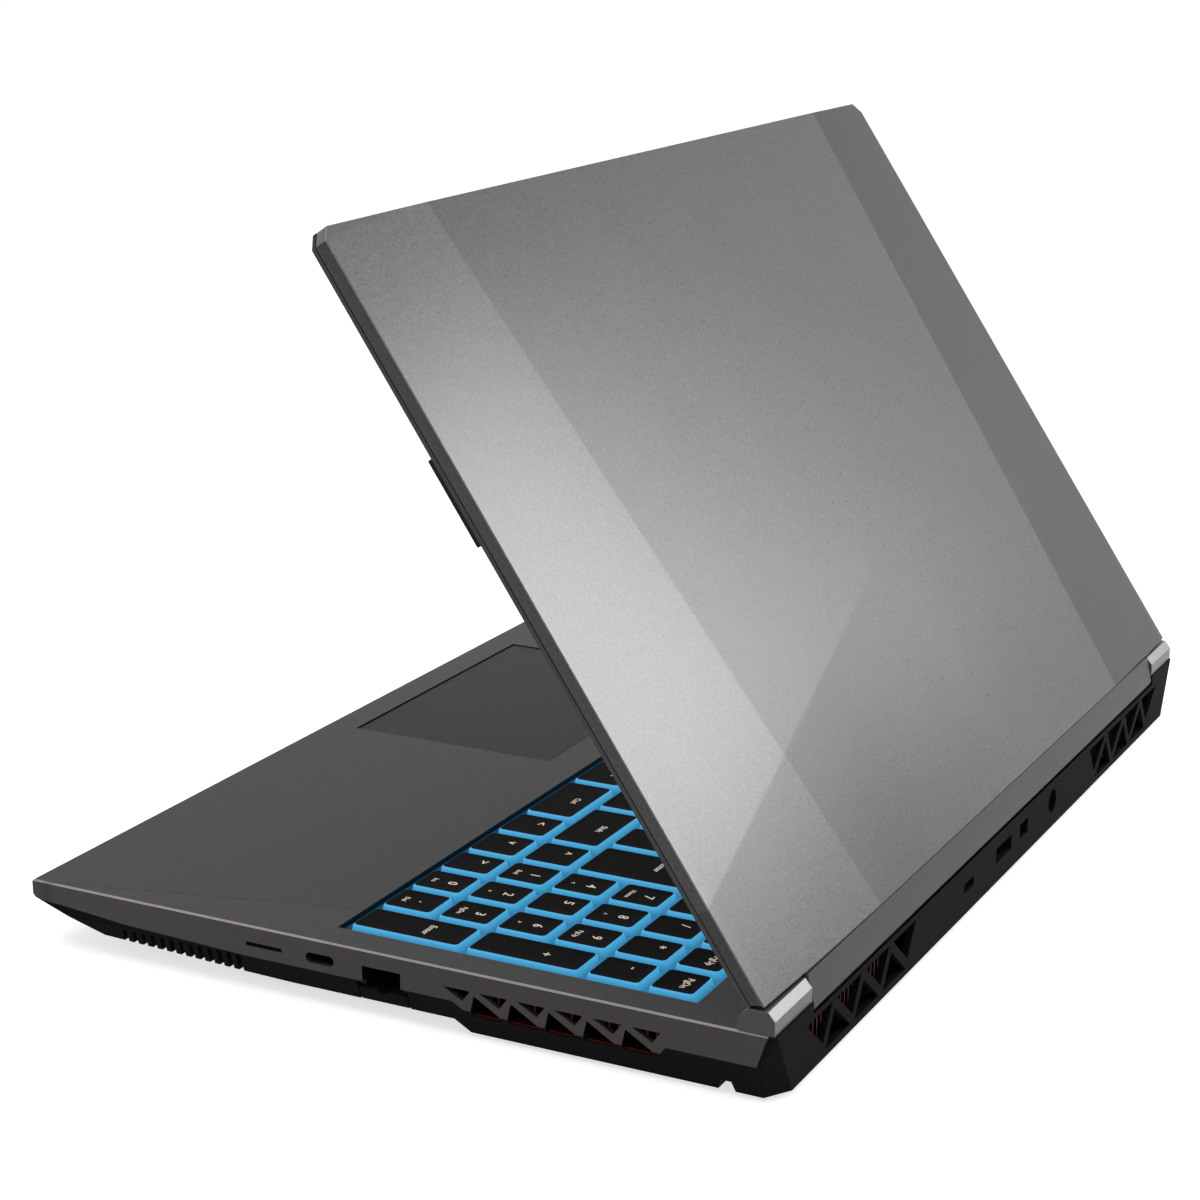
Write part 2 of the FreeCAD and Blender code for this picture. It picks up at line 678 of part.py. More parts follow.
def make_rear_panel():
    """Black back wall with vents and socket openings, hinge trough and corner posts."""
    wall = box("panel_wall", (-half_width, half_width), (back_inner, back_y),
               (d.foot_height, d.deck_height))
    lip = prism("panel_lip_gap", "YZ", [[
        (back_inner - 1, 15.0), (back_inner, 15.4), (back_y, 17.2), (back_y + 1, 17.6),
        (back_y + 1, 30), (back_inner - 1, 30),
    ]], -d.cap_inner, d.cap_inner)
    trough_half = d.cap_inner + 1.4
    shelf_low = 13.4
    shelf_top = 14.8
    riser_y = (deck_back - 1.4, deck_back)
    shelf = box("panel_shelf", (-trough_half, trough_half), (riser_y[0], back_inner),
                (shelf_low, shelf_top))
    riser = box("panel_riser", (-trough_half, trough_half), riser_y, (shelf_top, deck_under))
    ends = [box(f"panel_end_{i}", x_span, (deck_back, back_inner), (shelf_top, deck_under))
            for i, x_span in enumerate(sides(d.cap_inner, trough_half))]
    posts = [box(f"panel_post_{i}", x_span, (108, back_inner), (floor_back, deck_under))
             for i, x_span in enumerate(sides(POST_INNER, tray_half))]
    cheeks = [box(f"panel_cheek_{i}", x_span, (112, back_inner), (d.seam_height, deck_under))
              for i, x_span in enumerate(sides(tray_half, half_width))]
    bosses = [rod(f"panel_boss_{i}", "z", (x, BACK_SCREWS[0][1]), BOSS_RADIUS, floor_back, shelf_low)
              for i, x in enumerate((BACK_SCREWS[0][0], -BACK_SCREWS[0][0]))]
    # The cheeks start where the grey wall's skin-deep corner cut ends.
    case_side = prism("panel_case_side", "YZ", [[
        (100, d.seam_height), (back_inner + 5, d.seam_height), (back_inner + 5, 30), (100, 30)]],
        -half_width, half_width)
    cheek_zone = common("panel_cheek_zone", corner_cutter("panel_skin", d.corner_skin), case_side)
    cheek = common("panel_cheeks", cheek_zone, fuse("panel_cheek_blocks", *cheeks))
    solid = fuse("panel_solid", wall, shelf, riser, *ends, *posts, cheek, *bosses)
    reach = (back_inner - 1, back_y + 1)
    right_vents = prism("panel_vents_right", "XZ", back_vent_outlines(), *reach)
    holes = [
        pill("panel_c_hole", "y", centred(d.back_socket_x, BACK_C_WIDTH), BACK_C_Z, reach),
        box("panel_wide_hole", centred(d.wide_socket_x, 14.4), reach, (7.9, 12.6)),
        box("panel_small_hole", centred(d.small_socket_x, 7.8), reach, (8.2, 13.0)),
        rod("panel_inlet_hole", "y", (d.inlet_x, 10.2), 4.0, *reach),
    ]
    for x, y in BACK_SCREWS:
        for place in (x, -x):
            holes.append(rod(f"panel_screw_hole_{len(holes)}", "z", (place, y), SCREW_RADIUS, 0, 10.0))
    panel = cut("panel_shape", solid, lip, right_vents, mirror("panel_vents_left", right_vents),
                side_slopes("panel_slopes"), corner_cutter("panel_corners", 0.0), *holes)
    node(panel, "rear_panel")


def centred(middle, width):
    """A span of a given width about a middle."""
    return (as_size(middle) - width / 2, as_size(middle) + width / 2)


def make_hinge_caps():
    """Hollow caps on the deck's back corners that cover the hinge brackets."""
    span = (d.cap_inner, half_width)
    barrel = rod("cap_barrel", "x", hinge_right, d.cap_radius, *span)
    outline = [(d.hinge_y - 7, d.deck_height), (d.hinge_y - 7, d.cap_top), (116.5, d.cap_top),
               (118.5, 24.6), (118.5, d.deck_height)]
    solid = common("cap_solid", barrel, prism("cap_outline", "YZ", [outline], *span))
    hollow = prism("cap_hollow", "YZ", [[
        (109.4, d.deck_height - 1), (109.4, 22.5), (111.2, 25.4), (115.8, 25.4), (117.2, 23.8),
        (117.2, d.deck_height - 1)]], d.cap_inner + 1.1, half_width - 2)
    hole = rod("cap_pin_hole", "x", hinge_right, d.pin_radius + 0.3, d.cap_inner - 1, half_width - 3)
    right = node(cut("cap_right", solid, hollow, hole), "hinge_cap_right")
    node(mirror("cap_left", right), "hinge_cap_left")


def make_hinge_brackets():
    """Steel brackets under the deck, each with an upright that carries the hinge pin."""
    foot = box("bracket_foot", (132, UPRIGHT_X[1]), (96, 105), (16.8, deck_under))
    outline = [(96, 16.8), (110.5, 16.8), (116.6, 19.5), (116.6, 23.4), (115, 24.9), (112.4, 24.9),
               (110.5, 22.6), (110.5, deck_under), (96, deck_under)]
    upright = prism("bracket_upright", "YZ", [outline], *UPRIGHT_X)
    pin = rod("bracket_pin", "x", hinge_right, d.pin_radius, 130, UPRIGHT_X[0] + 0.5)
    right = node(fuse("bracket_right", foot, upright, pin), "hinge_bracket_right")
    node(mirror("bracket_left", right), "hinge_bracket_left")


# Keyboard: rows of key widths in key units, from the left
ROW_UNITS = {
    "bottom": (1.25, 1.0, 1.0, 1.25, 5.5, 1.25, 1.75, 1.0, 1.0),
    "lower": (1.25,) + (1.0,) * 11 + (1.75, 1.0),
    "middle": (1.75,) + (1.0,) * 12,
    "upper": (1.5,) + (1.0,) * 12,
    "number": (1.0,) * 13 + (2.0,),
}
ROW_ORDER = ("bottom", "lower", "middle", "upper", "number")
ROW_NODES = {"bottom": "bottom_keys", "lower": "lower_letter_keys", "middle": "middle_letter_keys",
             "upper": "upper_letter_keys", "number": "number_keys"}
SPACE_INDEX = 4
FUNCTION_KEYS = 16
PAD_COLUMNS = 4


def key_cap(label, x_low, x_high, y_low, y_high):
    """One tapered key cap that fills its place on the grid apart from the gap around it."""
    cap = doc.addObject("Part::Wedge", label)
    cap.Placement = Placement(Vector(0, 0, 0), Rotation(Vector(1, 0, 0), 90))
    width = as_size(x_high) - x_low - d.key_gap
    depth = as_size(y_high) - y_low - d.key_gap
    for path, size in (("Xmin", 0), ("Ymin", 0), ("Zmin", 0), ("Xmax", width), ("Ymax", d.key_height),
                       ("Zmax", depth), ("X2min", d.key_taper), ("X2max", width - d.key_taper),
                       ("Z2min", d.key_taper), ("Z2max", depth - d.key_taper)):
        bind(cap, path, size)
    bind(cap, "Placement.Base.x", as_size(x_low) + d.key_gap / 2)
    bind(cap, "Placement.Base.y", as_size(y_high) - d.key_gap / 2)
    bind(cap, "Placement.Base.z", d.key_top - d.key_height)
    return cap


def row_span(row):
    """Front and back limits of a key row, counted from the bottom row."""
    return (d.key_front + d.row_pitch * row, d.key_front + d.row_pitch * (row + 1))


def make_keys():
    """Key caps in one node for each row, with the space bar, Enter key and number pad apart."""
    pad_left = d.key_left + d.key_pitch * 15
    for row, name in enumerate(ROW_ORDER):
        caps = []
        units_before = 0.0
        for i, units in enumerate(ROW_UNITS[name]):
            low = d.key_left + d.key_pitch * units_before
            units_before += units
            cap = key_cap(f"key_{name}_{i}", low, d.key_left + d.key_pitch * units_before, *row_span(row))
            if name == "bottom" and i == SPACE_INDEX:
                node(cap, "space_bar")
            else:
                caps.append(cap)
        node(group(f"keys_{name}", *caps), ROW_NODES[name])
    enter_lower = key_cap("enter_lower", d.key_left + d.key_pitch * 13.75, pad_left,
                          row_span(2)[0], row_span(3)[1])
    enter_upper = key_cap("enter_upper", d.key_left + d.key_pitch * 13.5, pad_left, *row_span(3))
    node(fuse("enter_shape", enter_lower, enter_upper), "enter_key")
    function_y = (row_span(5)[0], row_span(5)[0] + d.function_depth)
    step = d.key_pitch * 15 / FUNCTION_KEYS
    function_caps = [key_cap(f"key_function_{i}", d.key_left + step * i, d.key_left + step * (i + 1),
                             *function_y) for i in range(FUNCTION_KEYS)]
    function_caps += [key_cap(f"key_function_pad_{i}", pad_left + d.pad_pitch * i,
                              pad_left + d.pad_pitch * (i + 1), *function_y)
                      for i in range(PAD_COLUMNS)]
    node(group("keys_function", *function_caps), "function_keys")
    pad_caps = []
    for column in range(PAD_COLUMNS):
        low = pad_left + d.pad_pitch * column
        high = pad_left + d.pad_pitch * (column + 1)
        last = column == PAD_COLUMNS - 1
        rows = ((0, 1), (2, 3), (4, 4)) if last else tuple((row, row) for row in range(5))
        for first_row, last_row in rows:
            pad_caps.append(key_cap(f"key_pad_{column}_{first_row}", low, high,
                                    row_span(first_row)[0], row_span(last_row)[1]))
    node(group("keys_pad", *pad_caps), "numpad_keys")


def make_keyboard_plate():
    """Steel tray under the keys with a tab for the power switch, and the light guide sheet in it."""
    (x_low, x_high), (y_low, y_high) = key_well()
    guide_low = d.guide_top - d.guide_thick
    rim = d.plate_rim
    outer = box("plate_outer", (x_low - rim, x_high + rim), (y_low - rim, y_high + rim),
                (guide_low - d.plate_thick, deck_under))
    inner = box("plate_inner", (x_low, x_high), (y_low, y_high), (guide_low, deck_under + 1))
    tray = cut("plate_tray", outer, inner)
    tab = box("plate_button_tab", (-14, 14), (y_high, 104.5), (15.6, 16.4))
    switch = rod("plate_button_switch", "z", (0, 100.8), 2.0, 16.4, 16.7)
    node(fuse("plate_shape", tray, tab, switch), "keyboard_plate")
    node(box("guide_sheet", (x_low + 0.2, x_high - 0.2), (y_low + 0.2, y_high - 0.2),
             (guide_low, d.guide_top)), "keyboard_light_guide")


def make_touchpad():
    """Touchpad plate, and the bracket with a click switch under its front edge."""
    x_span, y_span = touchpad_span(0.0)
    low = d.touchpad_top - d.touchpad_thick
    node(box("touchpad_plate", x_span, y_span, (low, d.touchpad_top)), "touchpad")
    wide_x, wide_y = touchpad_span(4.0)
    shelf = box("touchpad_shelf", wide_x, (wide_y[0] + 3, wide_y[1]), (16.4, 17.2))
    legs = [box(f"touchpad_leg_{i}", x_limits, (wide_y[0] + 3, wide_y[1]), (17.2, deck_under))
            for i, x_limits in enumerate(((wide_x[0], wide_x[0] + 2.5), (wide_x[1] - 2.5, wide_x[1])))]
    switch = rod("touchpad_dome", "z", (d.touchpad_x, d.touchpad_front + 9), 3.0, 17.2, 17.6)
    node(fuse("touchpad_bracket_shape", shelf, *legs, switch), "touchpad_bracket")


def make_power_button():
    """Power button behind the keys, with a flange that keeps it under the deck."""
    cap = box("button_cap", BUTTON_X, BUTTON_Y, (18.4, 20.7))
    flange = box("button_flange", (BUTTON_X[0] - 1.2, BUTTON_X[1] + 1.2),
                 (BUTTON_Y[0] - 1.2, BUTTON_Y[1] + 1.2), (17.4, 18.4))
    node(fuse("button_shape", cap, flange), "power_button")


# Inside the base
def make_boards():
    """Mainboard with its two chips, side boards, cards and memory."""
    top = d.board_top
    board = box("mainboard_sheet", (-d.board_half, d.board_half), (d.board_front, d.board_back),
                (top - d.board_thick, top))
    socket_tab = box("mainboard_tab", (-55, 50), (d.board_back, 113), (top - d.board_thick, top))
    chips = [box(f"chip_{i}", centred(x, 30), (66, 94), (top, 10.9)) for i, x in enumerate((-35, 35))]
    node(fuse("mainboard_shape", board, socket_tab, *chips), "motherboard")
    node(box("board_right", (148, 174), (-48, -9), (11.4, 12.6)), "side_board_right")
    node(box("board_left", (-174, -148), (-58, -20), (10.4, 11.6)), "side_board_left")
    drive = box("drive_card", (-85, -5), (30, 52), (top + 2.0, top + 4.2))
    drive_base = box("drive_base", (-85, -79), (30, 52), (top, top + 2.0))
    node(fuse("drive_shape", drive, drive_base), "ssd_card")
    sockets = box("memory_base", (-2, 65.6), (29, 35), (top, top + 5.2))
    sticks = [box(f"memory_stick_{i}", (-2, 65.6), (35, 59), (low, low + 1.2))
              for i, low in enumerate((8.4, 11.4))]
    node(fuse("memory_shape", sockets, *sticks), "memory_modules")
    card = box("wireless_sheet", (67, 89), (30, 60), (top + 1.2, top + 2.0))
    card_base = box("wireless_base", (67, 89), (30, 34), (top, top + 1.2))
    shield = box("wireless_shield", (69, 87), (36, 56), (top + 2.0, top + 3.4))
    node(fuse("wireless_shape", card, card_base, shield), "wireless_card")


def make_battery_and_speakers():
    """Battery block on the cover's ribs, and a speaker box hung in each front corner."""
    node(box("battery_block", (-112, 112), (-92, -29), (9.2, 15.8)), "battery_pack")
    chamber = box("speaker_chamber", (129, 164), (-92, -60), (10.4, deck_under))
    cone = rod("speaker_cone", "z", (146, -76), 13.0, 9.2, 10.4)
    right = node(fuse("speaker_shape", chamber, cone), "speaker_right")
    node(mirror("speaker_mirror", right), "speaker_left")


def make_cooling():
    """Cold plates, heat pipes, fin stacks and fan housings."""
    plates = [box(f"cold_plate_{i}", centred(x, 42), (64, 104.8), (10.9, d.fan_high))
              for i, x in enumerate((-35, 35))]
    node(group("cold_plate_pair", *plates), "cold_plates")
    pipes = [box(f"pipe_{i}", (-172, 172), y_span, (d.fan_high, d.fan_high + 2.6))
             for i, y_span in enumerate(((96.7, 100.5), (101.0, 104.8)))]
    node(group("pipe_pair", *pipes), "heat_pipes")
    node(back_fins("back_fins_right_body", d.fan_x), "rear_fins_right")
    node(back_fins("back_fins_left_body", -d.fan_x), "rear_fins_left")
    right = node(fuse("side_fins_shape", side_fins("side_fins_body"), *fin_lips()), "side_fins_right")
    node(mirror("side_fins_mirror", right), "side_fins_left")
    housing = node(fan_housing(), "fan_housing_right")
    node(mirror("fan_housing_mirror", housing), "fan_housing_left")


def fin_body(label, plane, plates, plates_start, plates_end, fin, fin_start, axis, run):
    """Two plates joined by a row of thin fins."""
    body = prism(label, plane, plates, plates_start, plates_end)
    fin_start = as_size(fin_start)
    fin_plane = {"X": "YZ", "Y": "XZ"}[axis]
    offset = -(fin_start + d.fin_thick) if fin_plane == "XZ" else fin_start
    sketch = new_sketch(body, f"{label}_fin_outline", fin_plane, offset)
    draw_outline(sketch, fin)
    pad = add_pad(body, sketch, f"{label}_fin", d.fin_thick)
    pattern = body.newObject("PartDesign::LinearPattern", f"{label}_fins")
    pattern.Originals = [pad]
    pattern.Direction = (origin_feature(body, f"{axis}_Axis"), [""])
    bind(pattern, "Length", run)
    bind(pattern, "Occurrences", d.fin_count)
    body.Tip = pattern
    return body


def rectangle(x_span, y_span):
    """Four corners of a rectangle."""
    return [(x_span[0], y_span[0]), (x_span[1], y_span[0]), (x_span[1], y_span[1]),
            (x_span[0], y_span[1])]


def back_fins(label, middle):
    """Fin stack behind one fan, in front of the back wall's vents."""
    half = d.fan_size / 2
    y_span = (as_size(96.6), as_size(115.0))
    low = d.fan_low + 0.2
    plate = 0.6
    plates = [rectangle((middle - half, middle + half), (low, low + plate)),
              rectangle((middle - half, middle + half), (d.fan_high - plate, d.fan_high))]
    fin = rectangle(y_span, (low, d.fan_high))
    return fin_body(label, "XZ", plates, *y_span, fin, middle - half, "X", d.fan_size - d.fin_thick)


def side_fins(label):
    """Fin stack beside the right fan, behind the side wall's vents."""
    x_span = (as_size(160.0), as_size(173.5))
    y_span = (as_size(31.0), as_size(99.0))
    low = d.fan_low + 0.2
    plate = 0.6
    plates = [rectangle(x_span, (low, low + plate)),
              rectangle(x_span, (d.vent_notch_floor, d.vent_notch_floor + d.fin_thick)),
              rectangle(x_span, (d.fan_high - plate, d.fan_high))]
    fin = rectangle(x_span, (low, d.fan_high))
    run = y_span[1] - y_span[0] - d.fin_thick
    return fin_body(label, "XZ", plates, *y_span, fin, y_span[0], "Y", run)


def fin_lips():
    """Lips of the fin stack's middle plate, which lie in the notches of the black cover."""
    lips = []
    for i in range(UPPER_VENTS - 1):
        start = d.vent_first + d.vent_pitch * i
        lips.append(box(f"fin_lip_{i}", (173.3, wall_inner),
                        (start + d.vent_notch_left + d.fin_lip_play, start + d.vent_notch_right - d.fin_lip_play),
                        (d.vent_notch_floor, d.vent_notch_floor + d.fin_thick)))
    return lips


def fan_housing():
    """Flat fan housing with inlets above and below, outlets to the back and to the side."""
    half = d.fan_size / 2
    middle = (d.fan_x, d.fan_y)
    low = d.fan_low
    high = d.fan_high
    inside = (low + d.fan_plate, high - d.fan_plate)
    block = box("housing_block", (d.fan_x - half, d.fan_x + half), (d.fan_y - half, d.fan_y + half),
                (low, high))
    chamber = rod("housing_chamber", "z", middle, d.rotor_radius + d.rotor_play, *inside)
    inlet = rod("housing_inlet", "z", middle, d.fan_inlet, inside[1] - 0.5, high + 1)
    back_outlet = box("housing_back_outlet", (d.fan_x - 24, d.fan_x + 24), (d.fan_y, d.fan_y + half + 1),
                      inside)
    side_outlet = box("housing_side_outlet", (d.fan_x, d.fan_x + half + 1), (d.fan_y - 24, d.fan_y + 24),
                      inside)
    ring = cut("housing_ring", rod("housing_ring_outer", "z", middle, d.fan_inlet, low - 1, inside[0] + 0.5),
               rod("housing_ring_inner", "z", middle, 8.0, low - 2, inside[0] + 1))
    spokes = [box("housing_spoke_x", (d.fan_x - 20, d.fan_x + 20), centred(d.fan_y, 3.0),
                  (low - 2, inside[0] + 1)),
              box("housing_spoke_y", centred(d.fan_x, 3.0), (d.fan_y - 20, d.fan_y + 20),
                  (low - 2, inside[0] + 1))]
    floor_gaps = cut("housing_floor_gaps", ring, *spokes)
    shell = cut("housing_shell", block, chamber, inlet, back_outlet, side_outlet, floor_gaps)
    shaft = rod("housing_shaft", "z", middle, d.shaft_radius, low + 0.5, high - 1.6)
    return fuse("housing_shape", shell, shaft)


def fan_rotor(label, x):
    """Fan rotor: a hub with a bore for the shaft and a ring of blades."""
    low = d.fan_low + d.fan_plate + 0.6
    height = d.fan_high - d.fan_plate - 0.6 - low
    body = doc.addObject("PartDesign::Body", label)
    hub_sketch = new_sketch(body, f"{label}_hub_outline", "XY", low)
    draw_circle(hub_sketch, d.hub_radius)
    draw_circle(hub_sketch, d.shaft_radius + d.pin_play)
    add_pad(body, hub_sketch, f"{label}_hub", height)
    blade_sketch = new_sketch(body, f"{label}_blade_outline", "XY", low)
    lean = 6.0
    draw_outline(blade_sketch, [(d.hub_radius - 1, 0), (d.rotor_radius - 1, lean),
                                (d.rotor_radius - 1, lean + d.blade_thick),
                                (d.hub_radius - 1, d.blade_thick)])
    blade = add_pad(body, blade_sketch, f"{label}_blade", height)
    pattern = body.newObject("PartDesign::PolarPattern", f"{label}_blades")
    pattern.Originals = [blade]
    pattern.Axis = (origin_feature(body, "Z_Axis"), [""])
    pattern.Angle = 360.0
    bind(pattern, "Occurrences", d.blade_count)
    body.Tip = pattern
    bind(body, "Placement.Base.x", x)
    bind(body, "Placement.Base.y", d.fan_y)
    return body


# Sockets
def socket(label, x_span, y_span, z_span, mouth, tongue):
    """A metal socket shell: a box with its mouth hollowed and a contact tongue left inside."""
    shell = cut(f"{label}_shell", box(f"{label}_block", x_span, y_span, z_span), mouth)
    return fuse(f"{label}_shape", shell, box(f"{label}_tongue", *tongue))


def make_right_sockets():
    """Card slot, small reversible socket, network jack and its drop jaw on the right wall."""
    inner = wall_inner
    reach = (inner - d.socket_depth, inner)
    mouth_x = (inner - d.socket_depth + 1.5, inner + 1)
    tongue_x = (inner - d.socket_depth + 1, inner - 3)
    node(socket("card", reach, (-45.2, -30.4), (12.6, 16.6), box("card_mouth", mouth_x, CARD.y, (13.4, 15.8)),
                (tongue_x, (-43.0, -32.6), (14.6, 15.2))), "card_slot")
    short = (inner - d.socket_depth / 2, inner)
    node(socket("side_c", short, (-25.0, -13.4), (12.6, 17.0),
                pill("side_c_mouth", "x", SIDE_C.y, SIDE_C.z, (short[0] + 0.8, inner + 1)),
                ((short[0] + 0.5, inner - 2), (-22.4, -16.0), (14.4, 15.0))), "side_usb_c_socket")
    deep = (inner - 15, inner)
    jack_low = box("network_deep_block", deep, (-7.2, 8.7), (9.4, 14.8))
    jack_high = box("network_front_block", short, (-7.2, 8.7), (14.8, 17.2))
    mouth = box("network_mouth", (deep[0] + 2, inner + 1), NETWORK.y, (9.3, 14.2))
    mouth_top = box("network_mouth_top", (short[0] + 1, inner + 1), NETWORK.y, (14.0, NETWORK.z[1]))
    contacts = box("network_contacts", (deep[0] + 1, deep[0] + 5), (-3.0, 4.4), (13.4, 14.4))
    jack = cut("network_shell", fuse("network_blocks", jack_low, jack_high), mouth, mouth_top)
    node(fuse("network_shape", jack, contacts), "network_jack")
    slope = d.side_inset / (d.seam_height - d.foot_height)
    low = d.belly_front
    high = as_size(9.0)
    outline = [(164.6, low + 1.6), (166.0, low), (half_width - (d.seam_height - low) * slope, low),
               (half_width - (d.seam_height - high) * slope, high), (164.6, high)]
    block = prism("jaw_block", "XZ", [outline], -7.0, 8.5)
    groove = prism("jaw_groove", "YZ", [[(-1.8, high + 1), (-0.6, high - 1.0), (2.1, high - 1.0),
                                         (3.3, high + 1)]], 168, half_width + 1)
    pin = rod("jaw_pin", "y", (165.6, 7.6), 0.8, -9.2, 10.7)
    node(fuse("jaw_shape", cut("jaw_grooved", block, groove), pin), "network_jaw")


def make_left_sockets():
    """Rectangular data socket and two audio jacks on the left wall."""
    inner = -wall_inner
    reach = (inner, inner + d.socket_depth + 2)
    mouth_x = (inner - 1, inner + d.socket_depth)
    node(socket("data_a", reach, (-38.4, -23.2), (11.6, 17.6), box("data_a_mouth", mouth_x, DATA_A.y, DATA_A.z),
                ((inner + 3, inner + d.socket_depth + 1), (-36.2, -25.4), (14.6, 16.6))), "usb_a_socket")
    jacks = [cut(f"audio_{i}", box(f"audio_block_{i}", (inner, inner + 13), centred(y, 7.0), (11.6, 17.4)),
                 rod(f"audio_bore_{i}", "x", (y, AUDIO_Z), AUDIO_RADIUS, inner - 1, inner + 11))
             for i, y in enumerate(AUDIO_Y)]
    node(group("audio_pair", *jacks), "audio_jacks")


def make_back_sockets():
    """Small reversible socket, wide and small display sockets and power inlet at the back."""
    top = d.board_top
    reach = (back_inner - d.socket_depth, back_inner)
    mouth_y = (back_inner - d.socket_depth + 1.5, back_inner + 1)
    tongue_y = (back_inner - d.socket_depth + 1, back_inner - 3)
    node(socket("back_c", centred(d.back_socket_x, 10.8), reach, (top, 12.2),
                pill("back_c_mouth", "y", centred(d.back_socket_x, BACK_C_WIDTH), BACK_C_Z, mouth_y),
                (centred(d.back_socket_x, 6.4), tongue_y, (9.5, 10.1))), "rear_usb_c_socket")
    node(socket("wide", centred(d.wide_socket_x, 16.0), reach, (top, 13.3),
                box("wide_mouth", centred(d.wide_socket_x, 14.4), mouth_y, (7.9, 12.6)),
                (centred(d.wide_socket_x, 11.6), tongue_y, (9.8, 10.8))), "display_socket_wide")
    node(socket("small", centred(d.small_socket_x, 9.2), reach, (top, 13.3),
                box("small_mouth", centred(d.small_socket_x, 7.8), mouth_y, (8.2, 12.8)),
                (centred(d.small_socket_x, 5.6), tongue_y, (10.2, 11.0))), "display_socket_small")
    block = box("inlet_block", centred(d.inlet_x, 11.0), reach, (top, 13.3))
    bore = rod("inlet_bore", "y", (d.inlet_x, 10.2), 2.75, back_inner - 10, back_inner + 1)
    pin = rod("inlet_pin", "y", (d.inlet_x, 10.2), 0.6, back_inner - 11, back_inner - 2)
    node(fuse("inlet_shape", cut("inlet_shell", block, bore), pin), "power_inlet")


# Lid pieces, drawn about the hinge axis with the lid shut
def lid_outline(margin):
    """Plan of the lid with its chamfered free corners, drawn in by a margin."""
    half = half_width - margin
    free = -(d.lid_reach - margin)
    corner = d.lid_corner
    return [(half, -d.lid_start), (half, free + corner), (half - corner, free), (corner - half, free),
            (-half, free + corner), (-half, -d.lid_start)]


def crease_cutter(label, free_x, turn, sign):
    """The thin wedge that slopes one side band of the lid's back away from its crease."""
    run = 110.0
    drop = d.facet_slope * run
    outline = [(0, 0), (run * sign, -drop), (run * sign, 2)]
    if sign < 0:
        outline = outline[::-1]
    wedge = prism(label, "XZ", [outline], -20, 260)
    wedge.Placement = Placement(Vector(0, 0, 0), Rotation(Vector(0, 0, 1), turn.value * sign))
    bind(wedge, "Placement.Base.x", free_x * sign)
    bind(wedge, "Placement.Base.y", -d.lid_reach)
    bind(wedge, "Placement.Base.z", d.lid_thick)
    return wedge


def cap_clearance(label):
    """The round space that the hinge caps need at the lid's lower corners."""
    spans = sides(d.bar_half - 0.2, half_width + 1)
    return [rod(f"{label}_{i}", "x", (0, 0), d.lid_clear, *span) for i, span in enumerate(spans)]


def make_lid_shells():
    """Lid back cover with two creases, and the bezel that closes its inner side."""
    slab = prism("lid_slab", "XY", [lid_outline(0)], d.bezel_thick, d.lid_thick)
    inner = half_width - d.lid_skin
    free = -(d.lid_reach - d.lid_skin)
    arm_half = 150.5
    hollow = prism("lid_hollow", "XY", [[
        (arm_half, 0), (arm_half, -9), (inner, -9), (inner, free + d.lid_corner),
        (inner - d.lid_corner, free), (d.lid_corner - inner, free), (-inner, free + d.lid_corner),
        (-inner, -9), (-arm_half, -9), (-arm_half, 0)]], d.bezel_thick - 1, d.lid_thick - d.lid_skin)
    creases = [crease_cutter("crease_right", d.right_crease_free, d.right_crease_turn, 1),
               crease_cutter("crease_left", d.left_crease_free, d.left_crease_turn, -1)]
    shell = cut("lid_shell", slab, hollow, *creases, *cap_clearance("lid_cap_gap"))
    seats = [box(f"arm_seat_{i}", x_span, (-22, -10), (3.5, d.lid_thick - d.lid_skin))
             for i, x_span in enumerate(sides(133, 147))]
    node(on_lid(fuse("lid_cover_shape", shell, *seats)), "lid_cover")
    sheet = prism("bezel_sheet", "XY", [lid_outline(0)], 0, d.bezel_thick)
    window = box("bezel_window", centred(0, d.screen_width),
                 (-d.screen_free, -d.screen_free + d.screen_height), (-1, d.bezel_thick + 1))
    lens_hole = rod("bezel_lens_hole", "z", (0, -(d.lid_reach - 3.8)), 1.8, -1, d.bezel_thick + 1)
    node(on_lid(cut("bezel_shape", sheet, window, lens_hole, *cap_clearance("bezel_cap_gap"))),
         "lid_bezel")


def make_lid_contents():
    """Display panel, camera module and the pads that meet the deck."""
    low = d.bezel_thick
    panel = box("panel_block", (-174.5, 174.5), (-226.5, -27), (low, low + 2.7))
    node(on_lid(group("panel_sheet", panel)), "display_panel")
    lens_y = -(d.lid_reach - 3.8)
    module = box("camera_block", (-14, 14), (lens_y - 2, lens_y + 2), (low, low + 2.0))
    lens = rod("camera_lens", "z", (0, lens_y), 1.5, 0.2, low)
    node(on_lid(fuse("camera_shape", module, lens)), "camera_module")
    side_pads = [box(f"side_pad_{i}", x_span, (-167.6, -142.0), (-d.pad_proud, 0))
                 for i, x_span in enumerate(sides(176.4, half_width))]
    free_pads = [box(f"free_pad_{i}", x_span, (-231.6, -229.2), (-d.pad_proud, 0))
                 for i, x_span in enumerate(sides(110, 130))]
    node(on_lid(group("pads", *side_pads, *free_pads)), "lid_bumpers")


